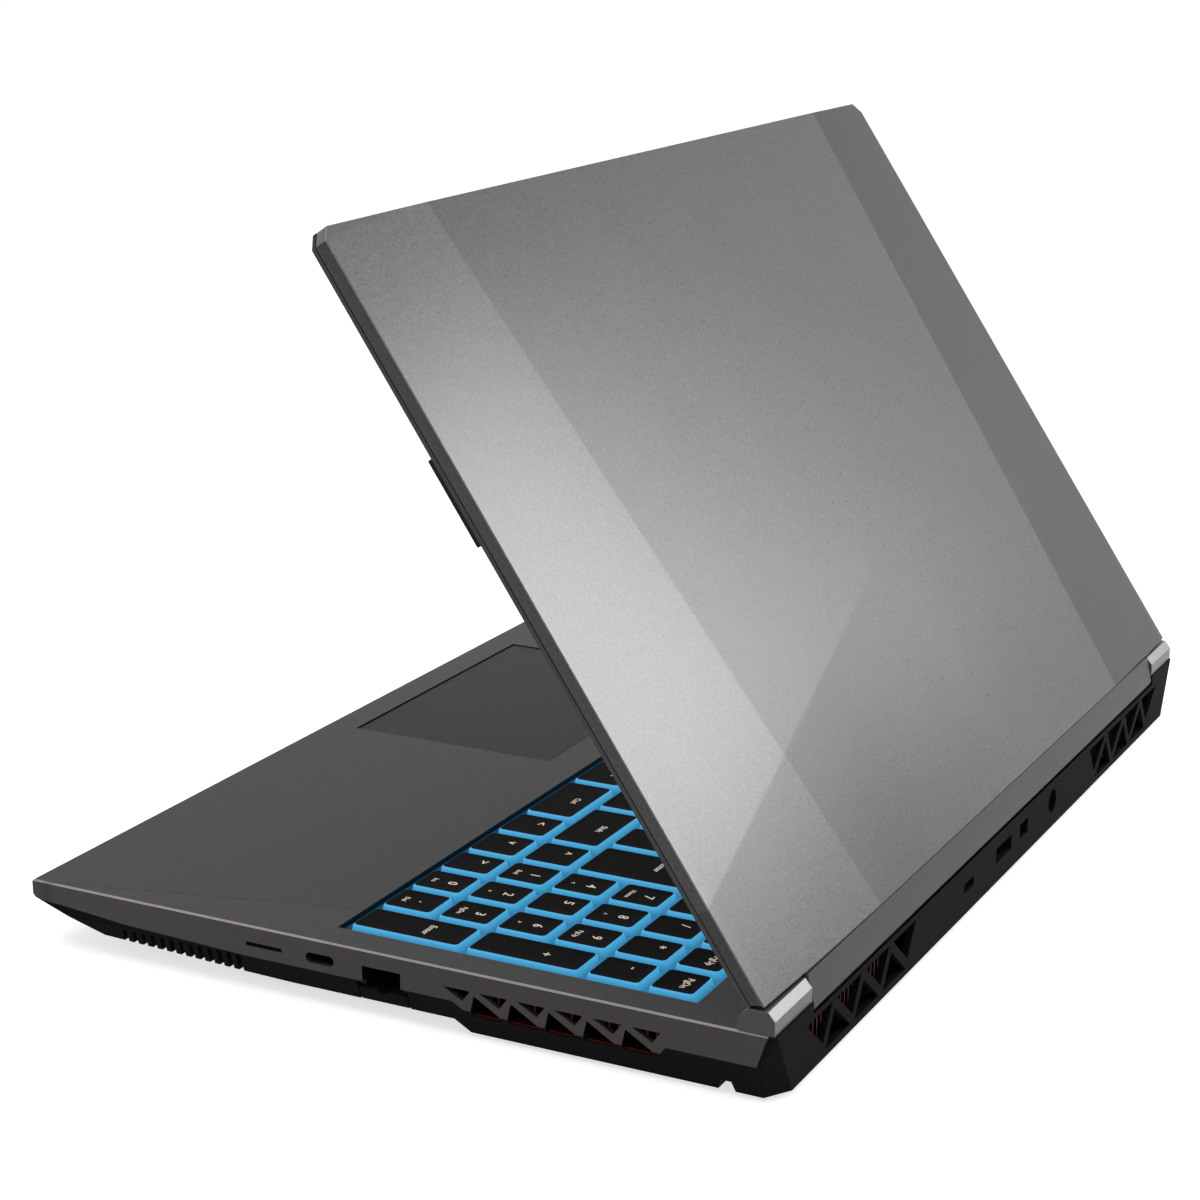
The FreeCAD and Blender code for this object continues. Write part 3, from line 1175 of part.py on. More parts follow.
def make_hinge_bar():
    """Bar along the lid's lower edge with a sloped back facet, and the steel arms inside it."""
    outline = [(-d.lid_start, d.lid_thick), (-d.lid_start, -3.0), (-1.5, -4.8), (2.0, -4.8), (4.8, -3.6),
               (6.2, -1.2), (6.2, 1.2), (5.2, 2.5)]
    solid = prism("bar_block", "YZ", [outline], -d.bar_half, d.bar_half)
    bores = [rod(f"bar_bore_{i}", "x", (0, 0), d.sleeve_radius + 0.2, *span)
             for i, span in enumerate(sides(129, d.bar_half + 1))]
    slots = [box(f"bar_slot_{i}", span, (-4, 0), (1.8, 3.7)) for i, span in enumerate(sides(130.5, 149.5))]
    node(on_lid(cut("bar_shape", solid, *bores, *slots)), "hinge_bar")
    sleeve = rod("arm_sleeve", "x", (0, 0), d.sleeve_radius, 131, 153)
    plate = box("arm_plate", (131, 149), (-24, -0.5), (2.0, 3.5))
    bore = rod("arm_bore", "x", (0, 0), d.pin_radius + d.pin_play, 125, 160)
    right = node(on_lid(cut("arm_right", fuse("arm_solid", sleeve, plate), bore)), "hinge_arm_right")
    node(mirror("arm_left", right), "hinge_arm_left")


def check_document():
    """Stop if any object failed or any sub-part has no sound shape."""
    for item in doc.Objects:
        if {"Invalid", "Error"} & set(item.State):
            raise RuntimeError(f"{item.Name} failed: {item.State}")
    for item in nodes:
        if item.Shape.isNull() or not item.Shape.isValid() or not item.Shape.Solids:
            raise RuntimeError(f"{item.Label} has no sound shape")


def export_nodes():
    """Write each sub-part to its own file."""
    os.makedirs("parts", exist_ok=True)
    for item in nodes:
        item.Shape.exportStep(f"parts/{item.Label}.step")
        print(item.Label, len(item.Shape.Solids), round(item.Shape.Volume))


make_top_case()
make_bottom_cover()
make_feet()
make_screws()
make_rear_panel()
make_hinge_caps()
make_hinge_brackets()
make_keyboard_plate()
make_keys()
make_touchpad()
make_power_button()
make_boards()
make_battery_and_speakers()
make_cooling()
node(fan_rotor("rotor_right", d.fan_x), "fan_rotor_right")
node(fan_rotor("rotor_left", -d.fan_x), "fan_rotor_left")
make_right_sockets()
make_left_sockets()
make_back_sockets()
make_lid_shells()
make_lid_contents()
make_hinge_bar()
doc.recompute()
check_document()
export_nodes()
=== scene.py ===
import json
import logging
import math
from dataclasses import dataclass, field
from enum import Enum

import bmesh
import bpy
from mathutils import Matrix, Vector


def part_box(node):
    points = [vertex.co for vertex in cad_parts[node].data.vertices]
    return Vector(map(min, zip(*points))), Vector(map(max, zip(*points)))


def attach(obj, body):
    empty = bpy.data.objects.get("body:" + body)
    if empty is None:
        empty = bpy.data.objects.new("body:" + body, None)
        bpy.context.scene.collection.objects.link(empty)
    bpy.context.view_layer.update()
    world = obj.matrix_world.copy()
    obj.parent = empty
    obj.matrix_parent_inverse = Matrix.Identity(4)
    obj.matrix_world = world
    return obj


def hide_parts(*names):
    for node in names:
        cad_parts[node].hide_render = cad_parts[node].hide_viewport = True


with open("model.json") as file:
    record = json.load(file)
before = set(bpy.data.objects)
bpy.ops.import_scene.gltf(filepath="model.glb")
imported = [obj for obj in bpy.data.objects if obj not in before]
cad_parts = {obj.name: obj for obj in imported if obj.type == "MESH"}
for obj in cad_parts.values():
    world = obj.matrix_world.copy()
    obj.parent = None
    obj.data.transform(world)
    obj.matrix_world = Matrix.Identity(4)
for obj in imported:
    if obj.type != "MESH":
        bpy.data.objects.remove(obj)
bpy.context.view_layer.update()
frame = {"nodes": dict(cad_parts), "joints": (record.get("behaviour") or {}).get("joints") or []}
LOG = logging.getLogger("laptop")
MM = 0.001

# The grain that all finishes share: a fine noise of the finish's own size with a little of a broad
# one. Blasting grit, paint and moulding textures are really 0.05 to 0.2 mm, which is finer than the
# render's pixels, so the finishes draw them at 0.4 to 2 mm.
FINE_DETAIL = 3.0
FINE_ROUGHNESS = 0.6
BROAD_MM = 45.0
BROAD_DETAIL = 2.0
BROAD_SHARE = 0.1
# Parts of the noise's range that drive the colour, cut so that no grain stands out as a speck, and
# the gloss.
COLOUR_RANGE = (0.4, 0.62)
GLOSS_RANGE = (0.3, 0.7)
RELIEF_STRENGTH = 0.35
# Half the step of cosine over which the tone of a facet comes in.
FACET_BLEND = 0.04


def linear(hex_colour: str) -> tuple[float, float, float, float]:
    """Turn an sRGB hex colour into linear red, green, blue and alpha.

    Args:
        hex_colour: Six hex digits after a hash sign.

    Returns:
        The linear colour with alpha 1.
    """
    digits = hex_colour.lstrip("#")
    parts = [int(digits[i:i + 2], 16) / 255 for i in (0, 2, 4)]
    values = [c / 12.92 if c <= 0.04045 else ((c + 0.055) / 1.055) ** 2.4 for c in parts]
    return (*values, 1.0)


def add_node(tree: bpy.types.NodeTree, kind: str, inputs: dict[int | str, object] | None = None,
             **settings: object) -> bpy.types.Node:
    """Add one node with its settings, values and links.

    Args:
        tree: The node tree that gets the node.
        kind: Blender's name for the node type.
        inputs: Values or output sockets for the node's inputs, by name or number.
        **settings: Attributes of the node.

    Returns:
        The new node.
    """
    node = tree.nodes.new(kind)
    for name, value in settings.items():
        setattr(node, name, value)
    for key, value in (inputs or {}).items():
        if isinstance(value, bpy.types.NodeSocket):
            tree.links.new(value, node.inputs[key])
        else:
            node.inputs[key].default_value = value
    return node


def per_mm(size_mm: float) -> float:
    """Texture scale whose pattern repeats about once in a size given in millimetres."""
    return 1.0 / (size_mm * MM)


class Along(Enum):
    """Directions in which the tone of a panel can come in."""

    ACROSS = "across the case"
    FORWARD = "towards the front"


class Skin(Enum):
    """Surfaces of a key cap, by the number of their material."""

    PAINTED = 0
    LIT = 1


@dataclass(frozen=True)
class Facet:
    """Faces that point about one way and are painted in a tone of their own, which mostly stands
    for painted highlight and painted shade.

    A face belongs to it when the cosine of its normal to the direction is over the least one.
    """

    direction: tuple[float, float, float]
    least: float
    tone: float

    def both_sides(self) -> tuple["Facet", "Facet"]:
        """The facet and its mirror image on the other side of the case."""
        x, y, z = self.direction
        return self, Facet((-x, y, z), self.least, self.tone)


@dataclass(frozen=True)
class Finish:
    """A surface with a grained colour, a grained gloss and a fine relief."""

    name: str
    colour: str
    roughness: float
    metallic: float = 0.0
    ior: float = 1.5
    grain_mm: float = 0.6
    grain_tone: float = 0.08
    relief_mm: float = 0.01
    gloss_spread: float = 0.06
    specular: float = 0.5
    facets: tuple[Facet, ...] = ()

    def tone(self, tree: bpy.types.NodeTree, grain: bpy.types.NodeSocket) -> bpy.types.NodeSocket:
        """Colour of the surface, darker and lighter with its grain, and on its facets, which mostly
        carry painted highlight and shade.

        Args:
            tree: The material's node tree.
            grain: Output of the grain pattern.

        Returns:
            The colour socket.
        """
        base = linear(self.colour)
        dark = tuple(c * (1 - self.grain_tone) for c in base[:3]) + (1.0,)
        light = tuple(min(1.0, c * (1 + self.grain_tone)) for c in base[:3]) + (1.0,)
        even = add_node(tree, "ShaderNodeClamp", {
            "Value": grain, "Min": COLOUR_RANGE[0], "Max": COLOUR_RANGE[1]})
        # The colour sockets of a mix node are known only by their numbers.
        colour = add_node(tree, "ShaderNodeMix", {0: even.outputs[0], 6: dark, 7: light},
                          data_type="RGBA").outputs[2]
        for facet in self.facets:
            normal = add_node(tree, "ShaderNodeTexCoord").outputs["Normal"]
            facing = add_node(tree, "ShaderNodeVectorMath", {0: normal, 1: facet.direction},
                              operation="DOT_PRODUCT")
            share = add_node(tree, "ShaderNodeMapRange", {
                "Value": facing.outputs["Value"], "From Min": facet.least - FACET_BLEND,
                "From Max": facet.least + FACET_BLEND, "To Min": 1.0, "To Max": facet.tone})
            colour = add_node(tree, "ShaderNodeVectorMath", {
                0: colour, "Scale": share.outputs["Result"]}, operation="SCALE").outputs[0]
        return colour

    def light_up(self, tree: bpy.types.NodeTree, shader: bpy.types.Node) -> None:
        """Leave the shader unlit, which a lit finish overrides."""

    def build(self) -> bpy.types.Material:
        """Make the material once.

        Returns:
            The material of this name.
        """
        known = bpy.data.materials.get(self.name)
        if known:
            return known
        material = bpy.data.materials.new(self.name)
        material.use_nodes = True
        tree = material.node_tree
        tree.nodes.clear()
        place = add_node(tree, "ShaderNodeTexCoord").outputs["Object"]
        fine = add_node(tree, "ShaderNodeTexNoise", {
            "Vector": place, "Scale": per_mm(self.grain_mm), "Detail": FINE_DETAIL,
            "Roughness": FINE_ROUGHNESS}).outputs["Fac"]
        broad = add_node(tree, "ShaderNodeTexNoise", {
            "Vector": place, "Scale": per_mm(BROAD_MM), "Detail": BROAD_DETAIL}).outputs["Fac"]
        grain = add_node(tree, "ShaderNodeMix", {
            "Factor": BROAD_SHARE, "A": fine, "B": broad}).outputs["Result"]
        gloss = add_node(tree, "ShaderNodeMapRange", {
            "Value": grain, "From Min": GLOSS_RANGE[0], "From Max": GLOSS_RANGE[1],
            "To Min": self.roughness - self.gloss_spread,
            "To Max": self.roughness + self.gloss_spread})
        relief = add_node(tree, "ShaderNodeBump", {
            "Height": fine, "Strength": RELIEF_STRENGTH, "Distance": self.relief_mm * MM})
        shader = add_node(tree, "ShaderNodeBsdfPrincipled", {
            "Base Color": self.tone(tree, grain), "Metallic": self.metallic,
            "Roughness": gloss.outputs["Result"], "IOR": self.ior,
            "Normal": relief.outputs["Normal"], "Specular IOR Level": self.specular})
        self.light_up(tree, shader)
        add_node(tree, "ShaderNodeOutputMaterial", {"Surface": shader.outputs["BSDF"]})
        return material


@dataclass(frozen=True)
class LitFinish(Finish):
    """A translucent plastic with light behind it, which can change from low down to the top."""

    glow: str = "#2fa8ee"
    strength: float = 1.0
    low_z: float = 0.0
    high_z: float = 1.0
    top_share: float = 1.0

    def light_up(self, tree: bpy.types.NodeTree, shader: bpy.types.Node) -> None:
        """Give the shader a glow, even or changing with height.

        Args:
            tree: The material's node tree.
            shader: The surface shader.
        """
        shader.inputs["Emission Color"].default_value = linear(self.glow)
        shader.inputs["Emission Strength"].default_value = self.strength
        if self.top_share != 1.0:
            place = add_node(tree, "ShaderNodeTexCoord").outputs["Object"]
            height = add_node(tree, "ShaderNodeSeparateXYZ", {"Vector": place}).outputs["Z"]
            fade = add_node(tree, "ShaderNodeMapRange", {
                "Value": height, "From Min": self.low_z, "From Max": self.high_z,
                "To Min": self.strength, "To Max": self.strength * self.top_share})
            tree.links.new(fade.outputs["Result"], shader.inputs["Emission Strength"])


@dataclass(frozen=True)
class Panel:
    """A part of a surface to the right of a straight crease, in its own tone.

    The crease runs from one point to another, each given across the case and from the reference
    line to the front. The tone can come in over a fade along one of the two directions.
    """

    line_mm: tuple[float, float, float, float]
    tone: float
    fade_mm: tuple[float, float] | None = None
    fade_along: Along = Along.ACROSS

    def mirrored(self) -> "Panel":
        """The mirror image of a panel that doesn't fade across the case."""
        start_x, start_s, end_x, end_s = self.line_mm
        return Panel((-end_x, end_s, -start_x, start_s), self.tone, self.fade_mm, self.fade_along)


@dataclass(frozen=True)
class PanelFinish(Finish):
    """A finish in several tones that meet along straight creases; the tones stand partly for
    painted shade and highlight.

    Places are read with the piece turned shut about a line across the case.
    """

    panels: tuple[Panel, ...] = ()
    turn_y: float = 0.0
    turn_z: float = 0.0
    turn: float = 0.0
    edge_mm: float = 0.5

    def beyond(self, tree: bpy.types.NodeTree, across: bpy.types.NodeSocket,
               forward: bpy.types.NodeSocket, panel: Panel) -> bpy.types.NodeSocket:
        """One on the panel and nought on the other side of its crease.

        Args:
            tree: The material's node tree.
            across: Place across the case.
            forward: Place from the turning line to the front.
            panel: The panel.

        Returns:
            The mask.
        """
        start_x, start_s, end_x, end_s = (value * MM for value in panel.line_mm)
        length = math.hypot(end_x - start_x, end_s - start_s)
        normal = ((end_s - start_s) / length, -(end_x - start_x) / length)
        offset = normal[0] * start_x + normal[1] * start_s
        first = add_node(tree, "ShaderNodeMath", {0: across, 1: normal[0], 2: -offset},
                         operation="MULTIPLY_ADD")
        both = add_node(tree, "ShaderNodeMath", {0: forward, 1: normal[1], 2: first.outputs[0]},
                        operation="MULTIPLY_ADD")
        edge = self.edge_mm * MM
        mask = add_node(tree, "ShaderNodeMapRange", {
            "Value": both.outputs[0], "From Min": -edge, "From Max": edge}).outputs["Result"]
        if panel.fade_mm is None:
            return mask
        fade = add_node(tree, "ShaderNodeMapRange", {
            "Value": forward if panel.fade_along is Along.FORWARD else across,
            "From Min": panel.fade_mm[0] * MM, "From Max": panel.fade_mm[1] * MM})
        return add_node(tree, "ShaderNodeMath", {0: mask, 1: fade.outputs["Result"]},
                        operation="MULTIPLY").outputs[0]

    def tone(self, tree: bpy.types.NodeTree, grain: bpy.types.NodeSocket) -> bpy.types.NodeSocket:
        """Grained colour times the tones of the panels that a point lies in.

        Args:
            tree: The material's node tree.
            grain: Output of the grain pattern.

        Returns:
            The colour socket.
        """
        colour = super().tone(tree, grain)
        place = add_node(tree, "ShaderNodeTexCoord").outputs["Object"]
        shut = add_node(tree, "ShaderNodeVectorRotate", {
            "Vector": place, "Center": (0.0, self.turn_y, self.turn_z), "Angle": self.turn},
            rotation_type="X_AXIS")
        parts = add_node(tree, "ShaderNodeSeparateXYZ", {"Vector": shut.outputs["Vector"]})
        across = parts.outputs["X"]
        forward = add_node(tree, "ShaderNodeMath", {0: self.turn_y, 1: parts.outputs["Y"]},
                           operation="SUBTRACT").outputs[0]
        for panel in self.panels:
            mask = self.beyond(tree, across, forward, panel)
            share = add_node(tree, "ShaderNodeMapRange", {
                "Value": mask, "To Min": 1.0, "To Max": panel.tone})
            colour = add_node(tree, "ShaderNodeVectorMath", {
                0: colour, "Scale": share.outputs["Result"]}, operation="SCALE").outputs[0]
        return colour


# The shallow crease of the right palm rest, drawn as a painted shade line with a painted highlight
# line beside it.
PALM_PAINTED_SHADE = Panel((156.5, 24.6, 171.6, 82.9), 0.6, (17.0, 24.0), Along.FORWARD)
PALM_PAINTED_HIGHLIGHT = Panel((157.3, 24.6, 172.4, 82.9), 1.8, (17.0, 24.0), Along.FORWARD)
# Machined and blasted aluminium under dark paint: a fine even sparkle with no direction. The faces
# of its 45° edge chamfers are painted eight times lighter as a painted highlight line, and its side
# walls a little lighter as painted light. A crease crosses each palm rest, drawn as painted shade
# and highlight. Every face that points to the back, the wall of the key opening among them, is
# painted near black as painted shade, so that little blue shows on it.
DECK_ALUMINIUM = PanelFinish(
    "blasted_dark_aluminium", "#373534", roughness=0.5, metallic=0.3, grain_mm=1.0,
    grain_tone=0.25, specular=0.2,
    facets=(*Facet((0.707, 0.0, 0.707), 0.9, 8.0).both_sides(),
            *Facet((1.0, 0.0, 0.0), 0.9, 1.3).both_sides(), Facet((0.0, 1.0, 0.0), 0.9, 0.05)),
    panels=(PALM_PAINTED_SHADE, PALM_PAINTED_HIGHLIGHT, PALM_PAINTED_SHADE.mirrored(), PALM_PAINTED_HIGHLIGHT.mirrored()))
# Cast zinc hinge caps, painted like the deck. Their ends are painted a darker grey as painted
# shade, and the facet along the top is painted 2.6 times lighter as a painted highlight.
CAP_ZINC = Finish(
    "painted_cap_zinc", "#626161", roughness=0.4, metallic=0.5, grain_mm=1.0, grain_tone=0.1,
    specular=0.3, facets=(Facet((0.0, 0.64, 0.77), 0.92, 2.6),
                          *Facet((1.0, 0.0, 0.0), 0.85, 0.42).both_sides()))
# Painted plastic bar: the same grey as the deck, smoother.
BAR_PLASTIC = Finish(
    "painted_hinge_bar", "#434343", roughness=0.48, metallic=0.3, grain_mm=1.0, grain_tone=0.1,
    specular=0.2)
# Moulded ABS with a spark-eroded texture: deep black with almost no sheen.
COVER_ABS = Finish(
    "moulded_black_abs", "#131313", roughness=0.7, ior=1.54, grain_mm=1.2, grain_tone=0.3,
    relief_mm=0.04, specular=0.025)
# Moulded ABS frame of the screen: matt black, with its outer edge painted grey like the lid's.
BEZEL_ABS = Finish(
    "moulded_bezel_abs", "#171717", roughness=0.55, ior=1.54, grain_mm=1.0, grain_tone=0.15,
    relief_mm=0.02, specular=0.2, facets=Facet((1.0, 0.0, 0.0), 0.85, 6.0).both_sides())
# Polyester film over the touchpad: smoother and darker than the deck around it.
TOUCHPAD_FILM = Finish(
    "satin_polyester_film", "#161515", roughness=0.45, ior=1.64, grain_mm=1.0, grain_tone=0.06,
    relief_mm=0.004, specular=0.07)
# Anti-glare laminate over a dark display: near black with a broad soft reflection.
SCREEN_LAMINATE = Finish(
    "anti_glare_laminate", "#050507", roughness=0.3, ior=1.49, grain_mm=0.4, grain_tone=0.1,
    relief_mm=0.002, specular=0.4)
# Painted key tops on clear polycarbonate: matt black, with the light showing at the bare sides.
KEY_PAINT = Finish(
    "painted_key_top", "#0c0a09", roughness=0.65, ior=1.49, grain_mm=0.9, grain_tone=0.25,
    specular=0.03)
# Legends burnt through the paint by laser, which the lamp below shows as warm grey.
LEGEND_INK = LitFinish(
    "laser_cut_legend", "#8f8276", roughness=0.6, ior=1.58, glow="#d2c4b8", strength=0.75)
# Polycarbonate film that spreads the light under the keys: an even blue in the gaps between them.
GUIDE_FILM = LitFinish(
    "lit_guide_film", "#0c2440", roughness=0.5, ior=1.58, grain_mm=2.0, specular=0.1,
    glow="#3f94c8", strength=0.65)
# Moulded rubber feet and bumpers: dull black that takes light only at its edges.
RUBBER = Finish(
    "moulded_rubber", "#111111", roughness=0.8, ior=1.52, grain_mm=0.9, grain_tone=0.2,
    relief_mm=0.03, specular=0.2)
# Pressed sheet steel: plain grey metal with a soft, slightly uneven shine.
SHEET_STEEL = Finish(
    "pressed_sheet_steel", "#8f9092", roughness=0.35, metallic=1.0, grain_mm=1.2)
# Nickel plating on drawn socket shells: a dark mirror that shows as a thin bright rim.
SOCKET_NICKEL = Finish(
    "nickel_plated_shell", "#5a5a5b", roughness=0.3, metallic=1.0, grain_mm=1.0)
# Glass-filled nylon moulded as socket bodies: black with a faint sheen.
SOCKET_PLASTIC = Finish(
    "moulded_socket_nylon", "#0c0c0c", roughness=0.5, ior=1.53, grain_mm=0.8, specular=0.15)
# Epoxy solder mask on circuit boards: dark green, cloudy where copper lies under it.
SOLDER_MASK = Finish(
    "solder_mask_board", "#123222", roughness=0.4, ior=1.55, grain_mm=2.0, grain_tone=0.3)
# Polyester film wrapped round the cells: smooth black with soft waves.
BATTERY_WRAP = Finish(
    "printed_battery_wrap", "#161616", roughness=0.45, ior=1.64, grain_mm=2.0)
# Copper under a clear red lacquer: deep red that flashes where the metal below catches light.
FIN_COPPER = Finish(
    "red_lacquered_copper", "#5c1209", roughness=0.4, metallic=0.8, grain_mm=0.8, grain_tone=0.2)
# Moulded PBT of fans and speaker boxes: black and slightly satin.
FAN_PLASTIC = Finish(
    "moulded_fan_pbt", "#0c0c0c", roughness=0.5, ior=1.55, grain_mm=0.8, grain_tone=0.2,
    specular=0.15)


@dataclass
class CadDress:
    """Puts finishes and worn edges on the CAD pieces that are shown as they are."""

    edge_angle: float = math.radians(35)
    edge_steps: int = 2
    weld_mm: float = 0.002
    large_face_weight: int = 100

    def paint(self, name: str, finish: Finish) -> None:
        """Give one CAD piece its material.

        Args:
            name: The CAD piece.
            finish: Its finish.
        """
        mesh = frame["nodes"][name].data
        mesh.materials.clear()
        mesh.materials.append(finish.build())
        LOG.info("%s: %s", name, finish.name)

    def soften(self, name: str, width_mm: float) -> None:
        """Round the hard edges of one CAD piece.

        Args:
            name: The CAD piece.
            width_mm: Width of the rounding.
        """
        piece = frame["nodes"][name]
        weld = piece.modifiers.new("weld", "WELD")
        weld.merge_threshold = self.weld_mm * MM
        bevel = piece.modifiers.new("edges", "BEVEL")
        bevel.width = width_mm * MM
        bevel.segments = self.edge_steps
        bevel.limit_method = "ANGLE"
        bevel.angle_limit = self.edge_angle
        bevel.use_clamp_overlap = False
        flat = piece.modifiers.new("flat_faces", "WEIGHTED_NORMAL")
        flat.weight = self.large_face_weight

    def dress(self, finishes: dict[str, Finish], softened: dict[str, float]) -> None:
        """Paint and soften the listed pieces.

        Args:
            finishes: Finish of each CAD piece.
            softened: Edge width in millimetres of each piece that is softened.
        """
        for name, finish in finishes.items():
            self.paint(name, finish)
        for name, width in softened.items():
            self.soften(name, width)
        LOG.info("dressed %d CAD pieces", len(finishes))


@dataclass(frozen=True)
class KeyPlace:
    """One key's box and the corners of its foot, anticlockwise from above."""

    low: Vector
    high: Vector
    corners: tuple[tuple[float, float], ...]


@dataclass(frozen=True)
class Ring:
    """One level of a key cap: its inset from the foot, its rise over the top, the skin below."""

    inset_mm: float
    rise_mm: float
    skin: Skin


@dataclass
class Keyboard:
    """Key caps with rounded corners, dished black tops, lit sides and pale legends."""

    profile: tuple[Ring, ...] = (
        Ring(0.0, -2.6, Skin.LIT), Ring(0.3, -0.6, Skin.LIT), Ring(0.42, -0.3, Skin.LIT),
        Ring(0.72, 0.0, Skin.LIT), Ring(1.0, -0.02, Skin.PAINTED), Ring(2.2, -0.12, Skin.PAINTED),
        Ring(3.4, -0.16, Skin.PAINTED))
    corner_mm: float = 1.3
    corner_steps: int = 4
    dish_mm: float = 0.16
    # How close points of a CAD key lie to be one point, on its foot, or on its outline.
    weld_mm: float = 0.001
    foot_mm: float = 0.01
    outline_mm: float = 0.05
    # Decimal places of a metre to which the keys of one column agree.
    column_digits: int = 4
    letter_mm: float = 4.4
    word_mm: float = 2.9
    small_mm: float = 2.2
    legend_lift_mm: float = 0.02
    # Extra width of the legends' strokes as a share of their size, and steps in their curves.
    stroke_share: float = 0.012
    stroke_steps: int = 2
    # Places of legends as shares of the key's width and depth. Single letters stand to the left on
    # keys of one row, which are shallower than the deep ones.
    aside_share: float = 0.16
    sign_share: float = 0.12
    small_share: float = -0.24
    deep_key_mm: float = 20.0
    rows: dict[str, tuple[str, ...]] = field(default_factory=lambda: {
        "function_keys": ("Esc",) + tuple(f"F{i}" for i in range(1, 13)) + (
            "Prt", "Ins", "Del", "Home", "End", "PgUp", "PgDn"),
        "number_keys": ("`",) + tuple("1234567890") + ("-", "=", "Back"),
        "upper_letter_keys": ("Tab",) + tuple("QWERTYUIOP") + ("[", "]"),
        "middle_letter_keys": ("Caps",) + tuple("ASDFGHJKL") + (";", "'", "#"),
        "lower_letter_keys": ("Shift", "<") + tuple("ZXCVBNM") + (",", ".", "/", "Shift", "^"),
        "bottom_keys": ("Ctrl", "Fn", "", "Alt", "Alt", "Ctrl", "<", "v"),
        "space_bar": ("",),
        "enter_key": ("Enter",),
        "numpad_keys": (">", "1 End", "4 <", "7 Home", "Num", "0 Ins", "2 v", "5", "8 ^", "/",
                        ". Del", "3 PgDn", "6 >", "9 PgUp", "*", "Enter", "+", "-"),
    })

    def side_finish(self) -> LitFinish:
        """Clear polycarbonate lit from below: blue sides, brightest along the top edge.

        Returns:
            The finish, fitted to the height of the keys.
        """
        low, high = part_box("number_keys")
        return LitFinish(
            "lit_polycarbonate", "#0c3450", roughness=0.4, ior=1.58, grain_mm=1.5, grain_tone=0.1,
            specular=0.2, glow="#4badde", strength=0.45, low_z=low.z, high_z=high.z, top_share=2.1)

    def places(self, node: str) -> list[KeyPlace]:
        """Places of the separate keys in one CAD node, from the left and then from the front.

        Args:
            node: The CAD node of a key row.

        Returns:
            The places.
        """
        mesh = bmesh.new()
        mesh.from_mesh(frame["nodes"][node].data)
        bmesh.ops.remove_doubles(mesh, verts=mesh.verts, dist=self.weld_mm * MM)
        waiting = set(mesh.verts)
        found = []
        while waiting:
            stack = [waiting.pop()]
            island = []
            while stack:
                vert = stack.pop()
                island.append(vert.co.copy())
                for edge in vert.link_edges:
                    other = edge.other_vert(vert)
                    if other in waiting:
                        waiting.remove(other)
                        stack.append(other)
            found.append(self.place(island))
        mesh.free()
        return sorted(found, key=lambda place: (round(place.low.x, self.column_digits),
                                                place.low.y))

    def place(self, points: list[Vector]) -> KeyPlace:
        """Box and foot of one key, a rectangle or an L with its front left corner missing.

        Args:
            points: The key's points.

        Returns:
            The key's place.
        """
        low = Vector([min(p[i] for p in points) for i in range(3)])
        high = Vector([max(p[i] for p in points) for i in range(3)])
        foot = [p for p in points if p.z < low.z + self.foot_mm * MM]
        near = self.outline_mm * MM
        inner_x = [p.x for p in foot if low.x + near < p.x < high.x - near]
        inner_y = [p.y for p in foot if low.y + near < p.y < high.y - near]
        if inner_x and inner_y:
            step_x, step_y = inner_x[0], inner_y[0]
            corners = ((high.x, high.y), (low.x, high.y), (low.x, step_y), (step_x, step_y),
                       (step_x, low.y), (high.x, low.y))
        else:
            corners = ((high.x, high.y), (low.x, high.y), (low.x, low.y), (high.x, low.y))
        return KeyPlace(low, high, corners)

    def loop(self, corners: tuple[tuple[float, float], ...], inset: float,
             z: float) -> list[Vector]:
        """Foot outline drawn in by an inset, with rounded corners.

        Args:
            corners: Corners of the foot, anticlockwise.
            inset: Distance in from the foot.
            z: Height of the loop.

        Returns:
            The loop's points.
        """
        count = len(corners)
        radius = self.corner_mm * MM
        points = []
        for i, corner in enumerate(corners):
            before = (Vector(corner) - Vector(corners[i - 1])).normalized()
            after = (Vector(corners[(i + 1) % count]) - Vector(corner)).normalized()
            turn = before.x * after.y - before.y * after.x
            inward = Vector((-before.y, before.x)) + Vector((-after.y, after.x))
            tip = Vector(corner) + inward * inset
            start, end = tip - before * radius, tip + after * radius
            centre = start + Vector((-before.y, before.x)) * radius * (1 if turn > 0 else -1)
            first, last = start - centre, end - centre
            for step in range(self.corner_steps + 1):
                angle = math.pi / 2 * step / self.corner_steps
                spoke = first * math.cos(angle) + last * math.sin(angle)
                points.append(Vector((centre.x + spoke.x, centre.y + spoke.y, z)))
        return points

    def cap(self, mesh: bmesh.types.BMesh, place: KeyPlace) -> None:
        """Add one key cap.

        Args:
            mesh: The row's mesh.
            place: The key's place.
        """
        loops = []
        for ring in self.profile:
            z = max(place.low.z, place.high.z + ring.rise_mm * MM)
            points = self.loop(place.corners, ring.inset_mm * MM, z)
            loops.append([mesh.verts.new(point) for point in points])
        for ring, lower, upper in zip(self.profile[1:], loops, loops[1:]):
            for i in range(len(lower)):
                j = (i + 1) % len(lower)
                face = mesh.faces.new((lower[i], lower[j], upper[j], upper[i]))
                face.material_index = ring.skin.value
                face.smooth = True
        mesh.faces.new(loops[-1]).material_index = Skin.PAINTED.value
        mesh.faces.new(list(reversed(loops[0]))).material_index = Skin.LIT.value

